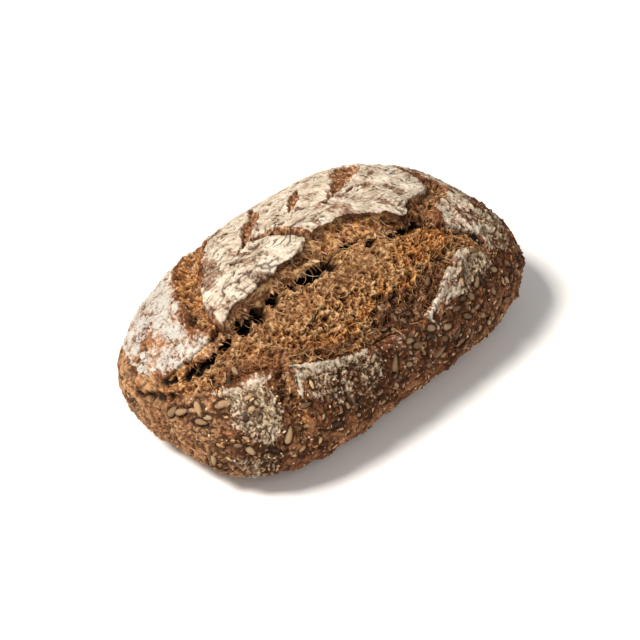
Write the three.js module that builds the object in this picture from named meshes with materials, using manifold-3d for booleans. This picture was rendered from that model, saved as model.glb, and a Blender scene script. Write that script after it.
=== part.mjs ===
// Rye loaf: one baked solid, long and rounded, slashed along its length.
//
// +X runs along the loaf, -Y is the side the long slash opens toward, +Z is up.
// The sole lies on z = 0, and the origin is under the middle of the loaf.
// Lengths are millimetres. Section angles are degrees: 0 is the back, 90 the ridge
// and 180 the front, so a spot on the skin is a station x with a section angle.

import * as THREE from "three";
import { ImprovedNoise } from "three/addons/math/ImprovedNoise.js";
import { mergeVertices } from "three/addons/utils/BufferGeometryUtils.js";
import Module from "manifold-3d";

// Whole loaf.
const LENGTH = 256;
const WIDTH = 156;
const HEIGHT = 88;
const EQUATOR = 32;          // height of the widest section above the sole
const SOLE_TUCK = 1.15;      // how far the lower curve would dip below the sole
const END_BLUNTNESS = 3.3;   // 2 is an ellipse in plan, more is squarer ends
const UNDERSIDE_BLUNTNESS = 3;
const END_DROP = 0.34;       // share of the crown's height lost at the ends
const CROWN_TILT = -0.04;    // the crown is this much higher or lower at +X
const PLAN_FLARE = 0.04;     // the +X half is this much wider
const PLAN_BOW = 0.04;       // the ends lean toward the slash by this share of the width
const PLAN_BOW_MIDDLE = 0.4; // share of that lean taken off at the middle

// Long slash: a raised ear behind, a crevice under it, a crumb slope in front.
const SLASH_START = -125;
const SLASH_FULL_FROM = -108;
const SLASH_FULL_TO = 66;
const SLASH_END = 84;
const EAR_RISE = 5;
const EAR_SPREAD = 30;       // length over which the flap rises to the ear
const EAR_LIP = 2.4;         // how far the ear's nose stands out over the slash
const CREVICE_DEPTH = 11.5;
const CREVICE_FALL = 9;      // length over which the crumb climbs out of the crevice
const CRUMB_SINK = 1.8;
const CRUMB_BULGE = 2.2;
const FRONT_LIP_RISE = 1.2;
const FRONT_LIP_SPREAD = 9;

// Section angle of the ear and of the front lip, and the width from the ear to
// the crevice, at stations along the loaf.
const EAR_TRACK = [
  [-128, 60], [-112, 82], [-92, 93], [-20, 93], [-12, 89.5], [20, 90],
  [28, 94.5], [46, 103], [56, 111], [64, 119], [80, 131], [128, 120],
];
const FRONT_TRACK = [
  [-128, 78], [-120, 106], [-105, 117], [-80, 131], [-60, 141], [-30, 149],
  [8, 154], [24, 149], [44, 139], [60, 134], [80, 146], [128, 140],
];
const GAP_TRACK = [[-128, 2.5], [-90, 5], [-50, 6], [0, 9], [30, 8], [50, 5], [128, 2.5]];

// Tears across the loaf: open troughs torn down through the floured skin.
const TEARS = [
  { path: [[-33, 34], [-51, 47], [-69, 59], [-77, 68], [-88, 86]], halfWidth: 8, depth: 4.8 },
  { path: [[94, 98], [80, 102], [69, 106], [58, 113]], halfWidth: 8.5, depth: 4.6 },
  { path: [[-84, 127], [-90, 146], [-90, 168]], halfWidth: 6.5, depth: 4.2 },
];

// Leaf cuts on the flap: station, section angle, heading, length, width, depth.
const LEAVES = [
  { at: [-9, 60], heading: -27, length: 49, width: 5.4, depth: 2.6 },
  { at: [-14, 77.5], heading: 34, length: 29, width: 3.6, depth: 2 },
  { at: [19.5, 64], heading: -31, length: 33, width: 3.6, depth: 2 },
  { at: [50, 69], heading: -33, length: 66, width: 16, depth: 3.4 },
  { at: [52, 82], heading: 14, length: 36, width: 4, depth: 2 },
  { at: [79, 85], heading: 45, length: 14, width: 4, depth: 2 },
  { at: [-48, 78], heading: 38, length: 16, width: 3, depth: 1.6 },
];
const LEAF_SIDES = 8;

// Sunflower kernels: station, section angle, heading, length.
const KERNELS = [
  [-127.1, 94, 25, 10.4], [-126, 106, 35, 9.5], [-122.7, 116, 118, 9.6], [-124.9, 128, 40, 8.5],
  [-115.5, 124, 22, 11], [-98.9, 166, -60, 10.6], [-83.9, 154, 12, 8], [-125.8, 204, 70, 8.5],
  [-21.4, 164, -58, 10.8], [-0.4, 164, 11, 10.6], [15.2, 178, -12, 11.6], [31.8, 174, -50, 10],
  [44.4, 185, -66, 8.8], [35.6, 161, 2, 10.6], [40.9, 168, 31, 8.4], [69.3, 139, 13, 9],
  [58.3, 154, -43, 9], [26.3, 139, -36, 7.6], [-0.3, 152, 13, 7], [-41.4, 141, 5, 8],
];
const KERNEL_WIDTH = 0.42;   // share of its length
const KERNEL_THICK = 0.3;
const KERNEL_SINK = 0.3;     // share of its thickness that is baked in
const GRAIN_COUNT = 30;
const GRAIN_LONGEST = 6.4;
const GRAIN_SHORTEST = 3.8;
const GRAIN_WIDTH = 0.55;
// Patches the grains are sown in: stations and section angles between limits.
const GRAIN_BEDS = [
  { from: [-124, 112], to: [-96, 176] },
  { from: [-70, 158], to: [-20, 190] },
  { from: [-10, 157], to: [60, 186] },
];

// Mesh density and surface relief.
const RINGS = 68;
const LUMP_SIZE = 27;
const LUMP_HEIGHT = 1.5;
const CRAG_SIZE = 7;
const CRAG_HEIGHT = 2;
const SEED = 4217;

const CRUST_COLOUR = 0x93633f;

const noise = new ImprovedNoise();
const { clamp, degToRad, lerp, smoothstep } = THREE.MathUtils;

/** Linear look-up of a [station, value] track. */
function trackAt(track, x) {
  const last = track.length - 1;
  const at = clamp(x, track[0][0], track[last][0]);
  const next = Math.max(1, track.findIndex(([station]) => station >= at));
  const [x0, v0] = track[next - 1];
  const [x1, v1] = track[next];
  return lerp(v0, v1, (at - x0) / (x1 - x0));
}

/** Smooth rise and fall: 0 at the outer stations, 1 between the inner ones. */
function window(x, start, fullFrom, fullTo, end) {
  return smoothstep(x, start, fullFrom) * (1 - smoothstep(x, fullTo, end));
}

/** Repeatable random numbers from 0 to 1. */
function randomSource(seed) {
  let state = seed;
  return () => {
    state = (state + 0x6d2b79f5) | 0;
    let t = Math.imul(state ^ (state >>> 15), 1 | state);
    t = (t + Math.imul(t ^ (t >>> 7), 61 | t)) ^ t;
    return ((t ^ (t >>> 14)) >>> 0) / 4294967296;
  };
}

/** Sweep angle, from 0 at the +X tip to PI at the -X tip, of station x. */
function sweepAt(x) {
  const share = clamp((2 * x) / LENGTH, -1, 1);
  return Math.acos(Math.sign(share) * Math.abs(share) ** (END_BLUNTNESS / 2));
}

/** Point of the smooth loaf at a sweep angle and a section angle. */
function skinPoint(sweep, degrees) {
  const power = 2 / END_BLUNTNESS;
  const share = Math.sign(Math.cos(sweep)) * Math.abs(Math.cos(sweep)) ** power;
  const girth = Math.max(Math.sin(sweep), 0) ** power;
  const theta = degToRad(degrees);
  const up = Math.sin(theta) > 0;
  const blunt = up ? 2 : UNDERSIDE_BLUNTNESS;
  const sum = Math.abs(Math.cos(theta)) ** blunt + Math.abs(Math.sin(theta)) ** blunt;
  const reach = girth / sum ** (1 / blunt);
  const endShape = (1 - END_DROP * Math.abs(share) ** 3) * (1 + CROWN_TILT * share);
  const rise = up ? (HEIGHT - EQUATOR) * endShape : EQUATOR * SOLE_TUCK;
  const halfWidth = (WIDTH / 2) * (1 + PLAN_FLARE * share);
  const bow = PLAN_BOW * WIDTH * (share ** 2 - PLAN_BOW_MIDDLE);
  return new THREE.Vector3(
    (LENGTH / 2) * share,
    halfWidth * reach * Math.cos(theta) - bow,
    EQUATOR + rise * reach * Math.sin(theta),
  );
}

/** Point, outward normal and the two skin directions at a spot of the smooth loaf. */
function skinFrame(sweep, degrees) {
  const step = 0.004;
  const turn = 0.5;
  const point = skinPoint(sweep, degrees);
  const along = skinPoint(sweep - step, degrees).sub(skinPoint(sweep + step, degrees)).normalize();
  const across = skinPoint(sweep, degrees + turn).sub(skinPoint(sweep, degrees - turn)).normalize();
  const outward = new THREE.Vector3().crossVectors(across, along).normalize();
  return { point, along, across, outward };
}

/** Degrees of section angle that one millimetre spans at a station. */
function degreesPerMm(sweep, degrees) {
  const chord = skinPoint(sweep, degrees + 1).distanceTo(skinPoint(sweep, degrees - 1));
  return 2 / Math.max(chord, 0.1);
}

/** Shortest distance from a point to a path of skin spots. */
function distanceToPath(point, path) {
  const spots = path.map(([x, degrees]) => skinPoint(sweepAt(x), degrees));
  let best = Infinity;
  for (let i = 1; i < spots.length; i++) {
    const leg = new THREE.Line3(spots[i - 1], spots[i]);
    const nearest = leg.closestPointToPoint(point, true, new THREE.Vector3());
    best = Math.min(best, nearest.distanceTo(point));
  }
  return best;
}

/** Depth of the tears across the loaf at a point of the skin. */
function tearDepth(point) {
  let depth = 0;
  for (const tear of TEARS) {
    const away = distanceToPath(point, tear.path) / tear.halfWidth;
    depth = Math.max(depth, tear.depth * (1 - smoothstep(away, 0.35, 1)));
  }
  return depth;
}

/** Evenly spaced numbers from first to last, both included. */
function spread(first, last, count) {
  return Array.from({ length: count }, (_, i) => lerp(first, last, i / (count - 1)));
}

/** The columns of one ring, as section angle, rise, shift and crag strength. */
function ringColumns(sweep) {
  const x = skinPoint(sweep, 90).x;
  const open = window(x, SLASH_START, SLASH_FULL_FROM, SLASH_FULL_TO, SLASH_END);
  const ear = trackAt(EAR_TRACK, x);
  const front = trackAt(FRONT_TRACK, x);
  const gap = trackAt(GAP_TRACK, x);
  const scale = degreesPerMm(sweep, 100);
  const crevice = ear + gap * scale;
  const columns = [];
  const add = (degrees, rise = 0, shift = 0, crag = 0) => {
    columns.push({ degrees, rise: rise * open, shift: shift * open, crag: crag * open });
  };

  // Sole and back wall, then the flap that rises to the ear.
  for (const degrees of [-90, -70, -56, -50, -43, -34, -23, -12]) add(degrees);
  for (const degrees of spread(0, 54, 7)) add(degrees);
  for (const share of spread(0, 6 / 7, 7)) {
    const degrees = lerp(61, ear, share);
    const before = (ear - degrees) / scale;
    add(degrees, EAR_RISE * (1 - smoothstep(before, 0, EAR_SPREAD)) ** 1.5);
  }

  // Ear: its edge, nose and underside, then the torn face down to the crevice.
  add(ear, EAR_RISE, 0);
  add(ear, EAR_RISE - 1.6, EAR_LIP);
  add(ear, EAR_RISE - 4.2, EAR_LIP * 0.6);
  for (const share of [0.25, 0.55, 0.85]) {
    add(lerp(ear, crevice, share), lerp(0, -CREVICE_DEPTH, share), EAR_LIP * 0.3, 0.7);
  }
  add(crevice, -CREVICE_DEPTH, 0, 0.2);

  // Crumb: out of the crevice and over to the front lip.
  for (const share of [0.06, 0.13, 0.21, 0.3, 0.4, 0.51, 0.62, 0.74, 0.85, 0.93]) {
    const degrees = lerp(crevice, front, share);
    const fall = Math.exp(-(((degrees - crevice) / scale / CREVICE_FALL) ** 1.5));
    const bulge = CRUMB_BULGE * Math.sin(Math.PI * share);
    add(degrees, bulge - CRUMB_SINK - (CREVICE_DEPTH - CRUMB_SINK) * fall, 0, 1);
  }

  // Front lip, front wall and the turn under to the sole.
  add(front - 0.7, -CRUMB_SINK, 0, 0.3);
  add(front + 0.7, FRONT_LIP_RISE);
  for (const share of [0.16, 0.34, 0.52, 0.7, 0.86]) {
    const degrees = lerp(front, 184, share);
    add(degrees, FRONT_LIP_RISE * (1 - smoothstep((degrees - front) / scale, 2, FRONT_LIP_SPREAD)));
  }
  for (const degrees of [184, 194, 204, 214, 223, 230, 236, 250]) add(degrees);
  return columns;
}

/** Sweep angles that space the rings evenly along the ridge. */
function ringSweeps() {
  const samples = 4000;
  const lengths = [0];
  for (let i = 1; i <= samples; i++) {
    const here = skinPoint((Math.PI * i) / samples, 90);
    const before = skinPoint((Math.PI * (i - 1)) / samples, 90);
    lengths.push(lengths[i - 1] + here.distanceTo(before));
  }
  return spread(0, lengths[samples], RINGS + 1).map((target) => {
    const found = lengths.findIndex((length) => length >= target - 1e-9);
    return (Math.PI * Math.max(found, 0)) / samples;
  });
}

/** Body of the loaf: a sphere's rings and columns laid over the slashed skin. */
function loafBody() {
  const sweeps = ringSweeps();
  const columnCount = ringColumns(Math.PI / 2).length;
  const geometry = new THREE.SphereGeometry(1, columnCount, RINGS);
  const position = geometry.attributes.position;
  for (let ring = 0; ring <= RINGS; ring++) {
    const tip = ring === 0 || ring === RINGS;
    const columns = ringColumns(sweeps[ring]);
    for (let side = 0; side <= columnCount; side++) {
      const column = columns[side % columnCount];
      const { point, across, outward } = skinFrame(sweeps[ring], column.degrees);
      if (!tip) {
        const lump = noise.noise(point.x / LUMP_SIZE, point.y / LUMP_SIZE, point.z / LUMP_SIZE);
        const crag = noise.noise(point.x / CRAG_SIZE, point.y / CRAG_SIZE, point.z / CRAG_SIZE + 9);
        const rise = column.rise + LUMP_HEIGHT * lump + CRAG_HEIGHT * column.crag * crag - tearDepth(point);
        point.addScaledVector(outward, rise).addScaledVector(across, column.shift);
      }
      position.setXYZ(ring * (columnCount + 1) + side, point.x, point.y, Math.max(point.z, 0));
    }
  }
  return geometry;
}

/** A pointed leaf, long on X, made from a sphere whose tips are drawn out. */
function leafGeometry({ length, width, depth }) {
  const geometry = new THREE.SphereGeometry(1, LEAF_SIDES, LEAF_SIDES);
  geometry.rotateZ(-Math.PI / 2);
  const position = geometry.attributes.position;
  for (let i = 0; i < position.count; i++) {
    const taper = Math.sqrt(Math.max(1 - position.getX(i) ** 2, 0));
    position.setXYZ(i, position.getX(i) * length / 2, position.getY(i) * taper * width / 2,
      position.getZ(i) * taper * depth);
  }
  return geometry;
}

/** A kernel or grain, long on X, one end pointed. */
function kernelGeometry(length, width, thick) {
  const geometry = new THREE.SphereGeometry(1, 6, 4);
  geometry.rotateZ(-Math.PI / 2);
  const position = geometry.attributes.position;
  for (let i = 0; i < position.count; i++) {
    const point = 1 - 0.34 * (position.getX(i) + 0.2);
    position.setXYZ(i, position.getX(i) * length / 2, position.getY(i) * point * width / 2,
      position.getZ(i) * point * thick / 2);
  }
  return geometry;
}

/** Turns and moves a geometry so that its X follows a heading on the skin. */
function layOnSkin(geometry, { point, along, across, outward }, heading, rise) {
  const turn = degToRad(heading);
  const ahead = along.clone().multiplyScalar(Math.cos(turn)).addScaledVector(across, Math.sin(turn));
  const flat = ahead.addScaledVector(outward, -ahead.dot(outward)).normalize();
  const side = new THREE.Vector3().crossVectors(outward, flat);
  const pose = new THREE.Matrix4().makeBasis(flat, side, outward);
  pose.setPosition(point.clone().addScaledVector(outward, rise));
  return geometry.applyMatrix4(pose);
}

/** Moves a skin frame onto the body, straight in from outside. */
function seatOn(body, frame) {
  const start = frame.point.clone().addScaledVector(frame.outward, 40);
  const ray = new THREE.Raycaster(start, frame.outward.clone().negate());
  const [hit] = ray.intersectObject(body);
  return { ...frame, point: hit ? hit.point : frame.point };
}

/** Sizes and spots of every kernel and grain, the largest first. */
function toppingPlan() {
  const random = randomSource(SEED);
  const plan = KERNELS.map(([x, degrees, heading, length]) => ({
    x, degrees, heading, length, width: length * KERNEL_WIDTH,
  }));
  for (let i = 0; i < GRAIN_COUNT; i++) {
    const bed = GRAIN_BEDS[i % GRAIN_BEDS.length];
    const length = lerp(GRAIN_LONGEST, GRAIN_SHORTEST, i / GRAIN_COUNT);
    plan.push({
      x: lerp(bed.from[0], bed.to[0], random()),
      degrees: lerp(bed.from[1], bed.to[1], random()),
      heading: 360 * random(),
      length,
      width: length * GRAIN_WIDTH,
    });
  }
  return plan;
}

const wasm = await Module();
wasm.setup();

/** Manifold solid of a closed three.js geometry. */
function toSolid(geometry) {
  const bare = geometry.clone();
  bare.deleteAttribute("normal");
  bare.deleteAttribute("uv");
  const welded = mergeVertices(bare, 1e-4);
  return new wasm.Manifold(new wasm.Mesh({
    numProp: 3,
    vertProperties: new Float32Array(welded.attributes.position.array),
    triVerts: new Uint32Array(welded.index.array),
  }));
}

/** Flat-shaded three.js geometry of a manifold solid. */
function toGeometry(solid) {
  const mesh = solid.getMesh();
  const geometry = new THREE.BufferGeometry();
  geometry.setAttribute("position", new THREE.BufferAttribute(mesh.vertProperties, 3));
  geometry.setIndex(new THREE.BufferAttribute(mesh.triVerts, 1));
  geometry.computeVertexNormals();
  return geometry;
}

const bodyGeometry = loafBody();
const body = new THREE.Mesh(bodyGeometry, new THREE.MeshStandardMaterial({ side: THREE.DoubleSide }));
body.updateMatrixWorld();
let loaf = toSolid(bodyGeometry);

for (const leaf of LEAVES) {
  const frame = seatOn(body, skinFrame(sweepAt(leaf.at[0]), leaf.at[1]));
  loaf = loaf.subtract(toSolid(layOnSkin(leafGeometry(leaf), frame, leaf.heading, 0.3)));
}

for (const grain of toppingPlan()) {
  const frame = seatOn(body, skinFrame(sweepAt(grain.x), grain.degrees));
  const thick = grain.length * KERNEL_THICK;
  const seed = kernelGeometry(grain.length, grain.width, thick);
  loaf = loaf.add(toSolid(layOnSkin(seed, frame, grain.heading, thick * (0.5 - KERNEL_SINK))));
}

const loafGeometry = toGeometry(loaf);
loafGeometry.computeBoundingBox();
const box = loafGeometry.boundingBox;
loafGeometry.translate(-(box.min.x + box.max.x) / 2, -(box.min.y + box.max.y) / 2, -box.min.z);

const crust = new THREE.MeshStandardMaterial({ color: CRUST_COLOUR, roughness: 0.85, metalness: 0 });
const loafMesh = new THREE.Mesh(loafGeometry, crust);
loafMesh.name = "loaf";

const bread = new THREE.Group();
bread.name = "rye_loaf";
bread.add(loafMesh);

export default bread;
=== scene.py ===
"""Rye loaf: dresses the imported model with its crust, floured flap, torn crumb and seeds.

The shape maths works in millimetres in the loaf's own frame. A place on the loaf is a
station x along it and a section angle in degrees: 0 is the back, 90 the ridge and 180 the
front. Meshes are written in metres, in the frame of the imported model.
"""

import logging
import math
import random
from dataclasses import dataclass, field
from enum import Enum

import bmesh
import bpy
import numpy as np
from bmesh.types import BMesh as Mesh
from bpy.types import Material, Node, NodeTree, Object
from mathutils import Matrix, Vector, noise
from mathutils.bvhtree import BVHTree


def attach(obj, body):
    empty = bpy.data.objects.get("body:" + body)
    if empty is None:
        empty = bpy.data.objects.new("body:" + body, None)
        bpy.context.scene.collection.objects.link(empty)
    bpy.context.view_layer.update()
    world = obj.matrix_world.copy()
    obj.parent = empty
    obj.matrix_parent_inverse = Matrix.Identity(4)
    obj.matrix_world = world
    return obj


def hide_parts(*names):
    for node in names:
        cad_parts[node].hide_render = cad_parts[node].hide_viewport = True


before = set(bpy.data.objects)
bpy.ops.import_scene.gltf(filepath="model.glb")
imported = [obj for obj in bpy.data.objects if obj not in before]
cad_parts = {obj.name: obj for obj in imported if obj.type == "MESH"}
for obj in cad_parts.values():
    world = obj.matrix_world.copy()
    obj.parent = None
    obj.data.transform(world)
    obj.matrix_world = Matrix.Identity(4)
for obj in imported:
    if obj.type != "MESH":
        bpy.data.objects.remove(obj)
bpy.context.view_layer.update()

LOG = logging.getLogger("rye_loaf")

MM = 0.001
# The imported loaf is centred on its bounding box, which the relief moves off the skin's middle.
CENTRING = (1.06, -1.23, 0.0)
# Length of one degree of section on the loaf's top and sides.
MM_PER_DEGREE = 1.15
FAR = 1e9

Array = np.ndarray
Spot = tuple[float, float]
Triple = tuple[float, float, float]


def smooth(low: float, high: float, value: Array) -> Array:
    """Eases from 0 where the value is low to 1 where it is high."""
    share = np.clip((value - low) / (high - low), 0.0, 1.0)
    return share * share * (3.0 - 2.0 * share)


def fade(low: float, high: float, value: Array) -> Array:
    """Eases from 1 where the value is low to 0 where it is high."""
    return 1.0 - smooth(low, high, value)


def bell(value: Array, width: float) -> Array:
    """Swells to 1 where the value is 0."""
    return np.exp(-((value / width) ** 2))


def unit(rows: Array) -> Array:
    """Rows scaled to a length of 1."""
    return rows / np.maximum(np.linalg.norm(rows, axis=-1, keepdims=True), 1e-9)


def shifted(points: Array, size: float, seed: float, step: Triple) -> list[list[float]]:
    """Points counted in features of a size, moved by the seed so that fields differ."""
    return (points / size + seed * np.array(step)).tolist()


def fractal(points: Array, size: float, octaves: int = 3, seed: float = 0.0) -> Array:
    """Fractal noise of about -1 to 1.

    Args:
        points: Places in mm, one row each.
        size: Size of the largest features in mm.
        octaves: Number of octaves.
        seed: Shifts the noise.

    Returns:
        One number a point.
    """
    rows = shifted(points, size, seed, (17.3, 9.1, 5.7))
    return np.array([noise.fractal(row, 1.0, 2.0, octaves) for row in rows])


def ridges(points: Array, size: float, octaves: int = 3, seed: float = 0.0) -> Array:
    """Ridged noise, near 1 along thin meandering crests and near 0 between them.

    Args:
        points: Places in mm, one row each.
        size: Size of the largest features in mm.
        octaves: Number of octaves.
        seed: Shifts the noise.

    Returns:
        One number a point.
    """
    rows = shifted(points, size, seed, (11.9, 6.3, 8.7))
    found = [noise.ridged_multi_fractal(row, 1.0, 2.0, octaves, 1.0, 2.0) for row in rows]
    return np.clip(np.array(found) / 1.9, 0.0, 1.0)


def cells(points: Array, size: float, seed: float = 0.0) -> tuple[Array, Array, Array]:
    """Cellular noise.

    Args:
        points: Places in mm, one row each.
        size: Size of a cell in mm.
        seed: Shifts the noise.

    Returns:
        The distance to the nearest cell point, the gap to the second nearest, both in
        cell sizes, and a random number from 0 to 1 for each cell.
    """
    found = [noise.voronoi(row) for row in shifted(points, size, seed, (13.1, 7.7, 3.9))]
    near = np.array([distances[:2] for distances, _ in found])
    centres = np.array([centre[0][:] for _, centre in found])
    chance = np.mod(np.sin(centres @ np.array((12.9898, 78.233, 37.719))) * 43758.5453, 1.0)
    return near[:, 0], near[:, 1] - near[:, 0], chance


def warp(points: Array, size: float, reach: float, seed: float = 0.0) -> Array:
    """Pushes points about by smooth noise.

    Args:
        points: Places in mm, one row each.
        size: Size of the noise's features in mm.
        reach: How far a point may move, in mm.
        seed: Shifts the noise.

    Returns:
        The moved points.
    """
    push = [fractal(points, size, 2, seed + 31.0 * axis) for axis in (1, 2, 3)]
    return points + reach * np.stack(push, 1)


@dataclass(frozen=True)
class Skin:
    """Smooth outer form of the loaf, without its slash, tears and relief."""

    length: float = 256.0
    width: float = 156.0
    height: float = 88.0
    equator: float = 32.0
    sole_tuck: float = 1.15
    end_bluntness: float = 3.3
    underside_bluntness: float = 3.0
    end_drop: float = 0.34
    crown_tilt: float = -0.04
    plan_flare: float = 0.04
    plan_bow: float = 0.04
    plan_bow_middle: float = 0.4

    def sweep_at(self, x: Array) -> Array:
        """Sweep angle, 0 at the +X tip and pi at the -X tip, of stations x."""
        share = np.clip(2.0 * np.asarray(x, float) / self.length, -1.0, 1.0)
        return np.arccos(np.sign(share) * np.abs(share) ** (self.end_bluntness / 2.0))

    def point(self, sweep: Array, degrees: Array) -> Array:
        """Points of the skin.

        Args:
            sweep: Sweep angles in radians.
            degrees: Section angles in degrees.

        Returns:
            One row of x, y, z in mm for each pair of angles.
        """
        power = 2.0 / self.end_bluntness
        sweep, theta = np.broadcast_arrays(np.asarray(sweep, float), np.radians(degrees))
        share = np.sign(np.cos(sweep)) * np.abs(np.cos(sweep)) ** power
        girth = np.maximum(np.sin(sweep), 0.0) ** power
        upper = np.sin(theta) > 0.0
        blunt = np.where(upper, 2.0, self.underside_bluntness)
        total = np.abs(np.cos(theta)) ** blunt + np.abs(np.sin(theta)) ** blunt
        reach = girth / total ** (1.0 / blunt)
        crown = self.height - self.equator
        crown = crown * (1.0 - self.end_drop * np.abs(share) ** 3) * (1.0 + self.crown_tilt * share)
        rise = np.where(upper, crown, self.equator * self.sole_tuck)
        bow = self.plan_bow * self.width * (share**2 - self.plan_bow_middle)
        half = self.width / 2.0 * (1.0 + self.plan_flare * share)
        y = half * reach * np.cos(theta) - bow
        z = self.equator + rise * reach * np.sin(theta)
        return np.stack([self.length / 2.0 * share, y, z], -1)

    def spot(self, place: Spot) -> Array:
        """Point of the skin at a station and a section angle."""
        return self.point(self.sweep_at(place[0]), np.array(place[1]))

    def walk(self, path: tuple[Spot, ...]) -> tuple[Array, Array]:
        """Points of the skin along a path.

        Args:
            path: Spots in order.

        Returns:
            One row of x, y, z in mm for each spot, and how far along the path it lies.
        """
        knots = np.array([self.spot(spot) for spot in path])
        legs = np.linalg.norm(np.diff(knots, axis=0), axis=1)
        return knots, np.concatenate([[0.0], np.cumsum(legs)])


SKIN = Skin()


@dataclass
class Places:
    """Places on the skin: station, section angle, point and unit directions."""

    x: Array
    degrees: Array
    base: Array
    along: Array
    across: Array
    outward: Array

    @classmethod
    def at(cls, sweep: Array, degrees: Array) -> "Places":
        """Works out places and their directions.

        Args:
            sweep: Sweep angles in radians.
            degrees: Section angles in degrees.

        Returns:
            The places.
        """
        step, turn = 0.004, 0.5
        base = SKIN.point(sweep, degrees)
        along = SKIN.point(sweep - step, degrees) - SKIN.point(sweep + step, degrees)
        across = SKIN.point(sweep, degrees + turn) - SKIN.point(sweep, degrees - turn)
        outward = np.cross(across, along)
        return cls(base[..., 0], degrees, base, unit(along), unit(across), unit(outward))

    @classmethod
    def over(cls, x: Array, degrees: Array) -> "Places":
        """Works out the places at stations and section angles."""
        return cls.at(SKIN.sweep_at(x), np.asarray(degrees, float))

    def turned(self, heading: float) -> tuple[Array, Array]:
        """Directions ahead and to the side.

        Args:
            heading: Angle in degrees from along the loaf to ahead.

        Returns:
            The direction ahead and the one to the side.
        """
        turn = math.radians(heading)
        ahead = self.along * math.cos(turn) + self.across * math.sin(turn)
        return ahead, self.across * math.cos(turn) - self.along * math.sin(turn)

    def degrees_per_mm(self) -> Array:
        """How finely the section angle divides the skin.

        Returns:
            Section angle that one millimetre across the skin spans, at each place.
        """
        sweep = SKIN.sweep_at(self.x)
        chord = SKIN.point(sweep, self.degrees + 1.0) - SKIN.point(sweep, self.degrees - 1.0)
        return 2.0 / np.maximum(np.linalg.norm(chord, axis=-1), 0.1)


def track(pairs: tuple[Spot, ...], x: Array) -> Array:
    """Looks a value up along stations with their values, in order."""
    return np.interp(x, *zip(*pairs))


@dataclass(frozen=True)
class Slash:
    """Long cut down the loaf, with the raised ear behind it and the crumb in front.

    The tracks give a value for each of a row of stations.
    """

    ear_rise: float = 5.0
    ear_spread: float = 30.0
    ear_lip: float = 2.4
    depth: float = 8.5
    fall: float = 5.5
    crumb_sink: float = 1.8
    crumb_bulge: float = 2.2
    lip_rise: float = 1.2

    # Section angle of the ear, and then of the front lip.
    EAR = (
        (-128, 62), (-119, 80), (-112, 87), (-104, 91.5), (-96, 93.5), (-90, 93), (-20, 93),
        (-12, 89.5), (20, 90.5), (28, 96.5), (36, 100.5), (46, 106.5), (54, 107), (57, 109.5),
        (59.5, 114), (62, 118), (66, 121), (80, 131), (128, 120))
    FRONT = (
        (-128, 78), (-120, 106), (-105, 117), (-80, 131), (-60, 141), (-30, 149), (8, 154),
        (24, 149), (44, 139), (60, 134), (80, 146), (128, 140))
    # Width in mm from the ear to the crevice.
    GAP = (
        (-128, 2.0), (-118, 5.0), (-104, 5.6), (-87, 4.6), (-78, 6.3), (-66, 8.0), (-52, 7.4),
        (-36, 9.8), (-23, 11.0), (-12, 15.0), (7, 14.0), (22, 16.5), (40, 10.5), (49, 7.5),
        (57, 4.5), (62, 3.0), (70, 2.6), (128, 2.4))
    # How the wall under the ear falls: above 1 it bulges out, below 1 it is hollow.
    BULGE = (
        (-128, 0.8), (-96, 1.0), (-82, 1.9), (-8, 1.9), (16, 1.1), (36, 0.6), (57, 0.5), (64, 1.3),
        (128, 1.3))

    def open_at(self, x: Array) -> Array:
        """How far the slash stands open at stations x, 0 to 1."""
        return smooth(-125.0, -108.0, x) * fade(66.0, 84.0, x)

    def ear_at(self, x: Array) -> Array:
        """Section angle of the ear at stations x."""
        return track(self.EAR, x)

    def front_at(self, x: Array) -> Array:
        """Section angle of the front lip at stations x."""
        return track(self.FRONT, x)

    def hollow_at(self, x: Array, degrees: Array) -> tuple[Array, Array]:
        """Where the slash's hollow lies.

        Args:
            x: Stations.
            degrees: Section angles.

        Returns:
            How far the places lie in the hollow, 0 to 1, and how far past its back edge.
        """
        tucked = 7.0 * smooth(-92.0, -82.0, x) * fade(36.0, 46.0, x)
        behind = smooth(-0.6, 0.9, degrees - self.ear_at(x) + tucked) * self.open_at(x)
        before = fade(-1.2, 0.2, degrees - self.front_at(x))
        return behind * before, behind * (degrees < self.ear_at(x) + 8.0)

    def depth_at(self, x: Array) -> Array:
        """Depth in mm of the crevice at stations x."""
        share = (0.5 + 0.5 * smooth(-112.0, -80.0, x)) * (1.0 - 0.4 * smooth(50.0, 75.0, x))
        return 1.0 + self.depth * share


SLASH = Slash()


def seen(x: Array, degrees: Array, rise: Array) -> tuple[Array, Array]:
    """Spot of the skin over which a place shows from the front left.

    Args:
        x: Stations.
        degrees: Section angles.
        rise: How far the places stand off the skin, in mm.

    Returns:
        Stations and section angles of the skin there.
    """
    return x + (0.5 + 0.55 * smooth(-70.0, 40.0, x)) * rise, degrees - 0.42 * rise


def to_leg(points: Array, start: Array, end: Array) -> tuple[Array, Array]:
    """Nearest places on a straight leg.

    Args:
        points: Rows of points.
        start: First end of the leg.
        end: Its other end.

    Returns:
        The share of the leg at the place nearest to each point, and the distance to it.
    """
    leg = end - start
    share = np.clip((points - start) @ leg / (leg @ leg), 0.0, 1.0)
    return share, np.linalg.norm(points - start - share[:, None] * leg, axis=1)


class Taper(Enum):
    """How the width of a cut runs from its first spot to its last."""

    EVEN = "even"
    LEAF = "leaf"
    WEDGE = "wedge"


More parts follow.
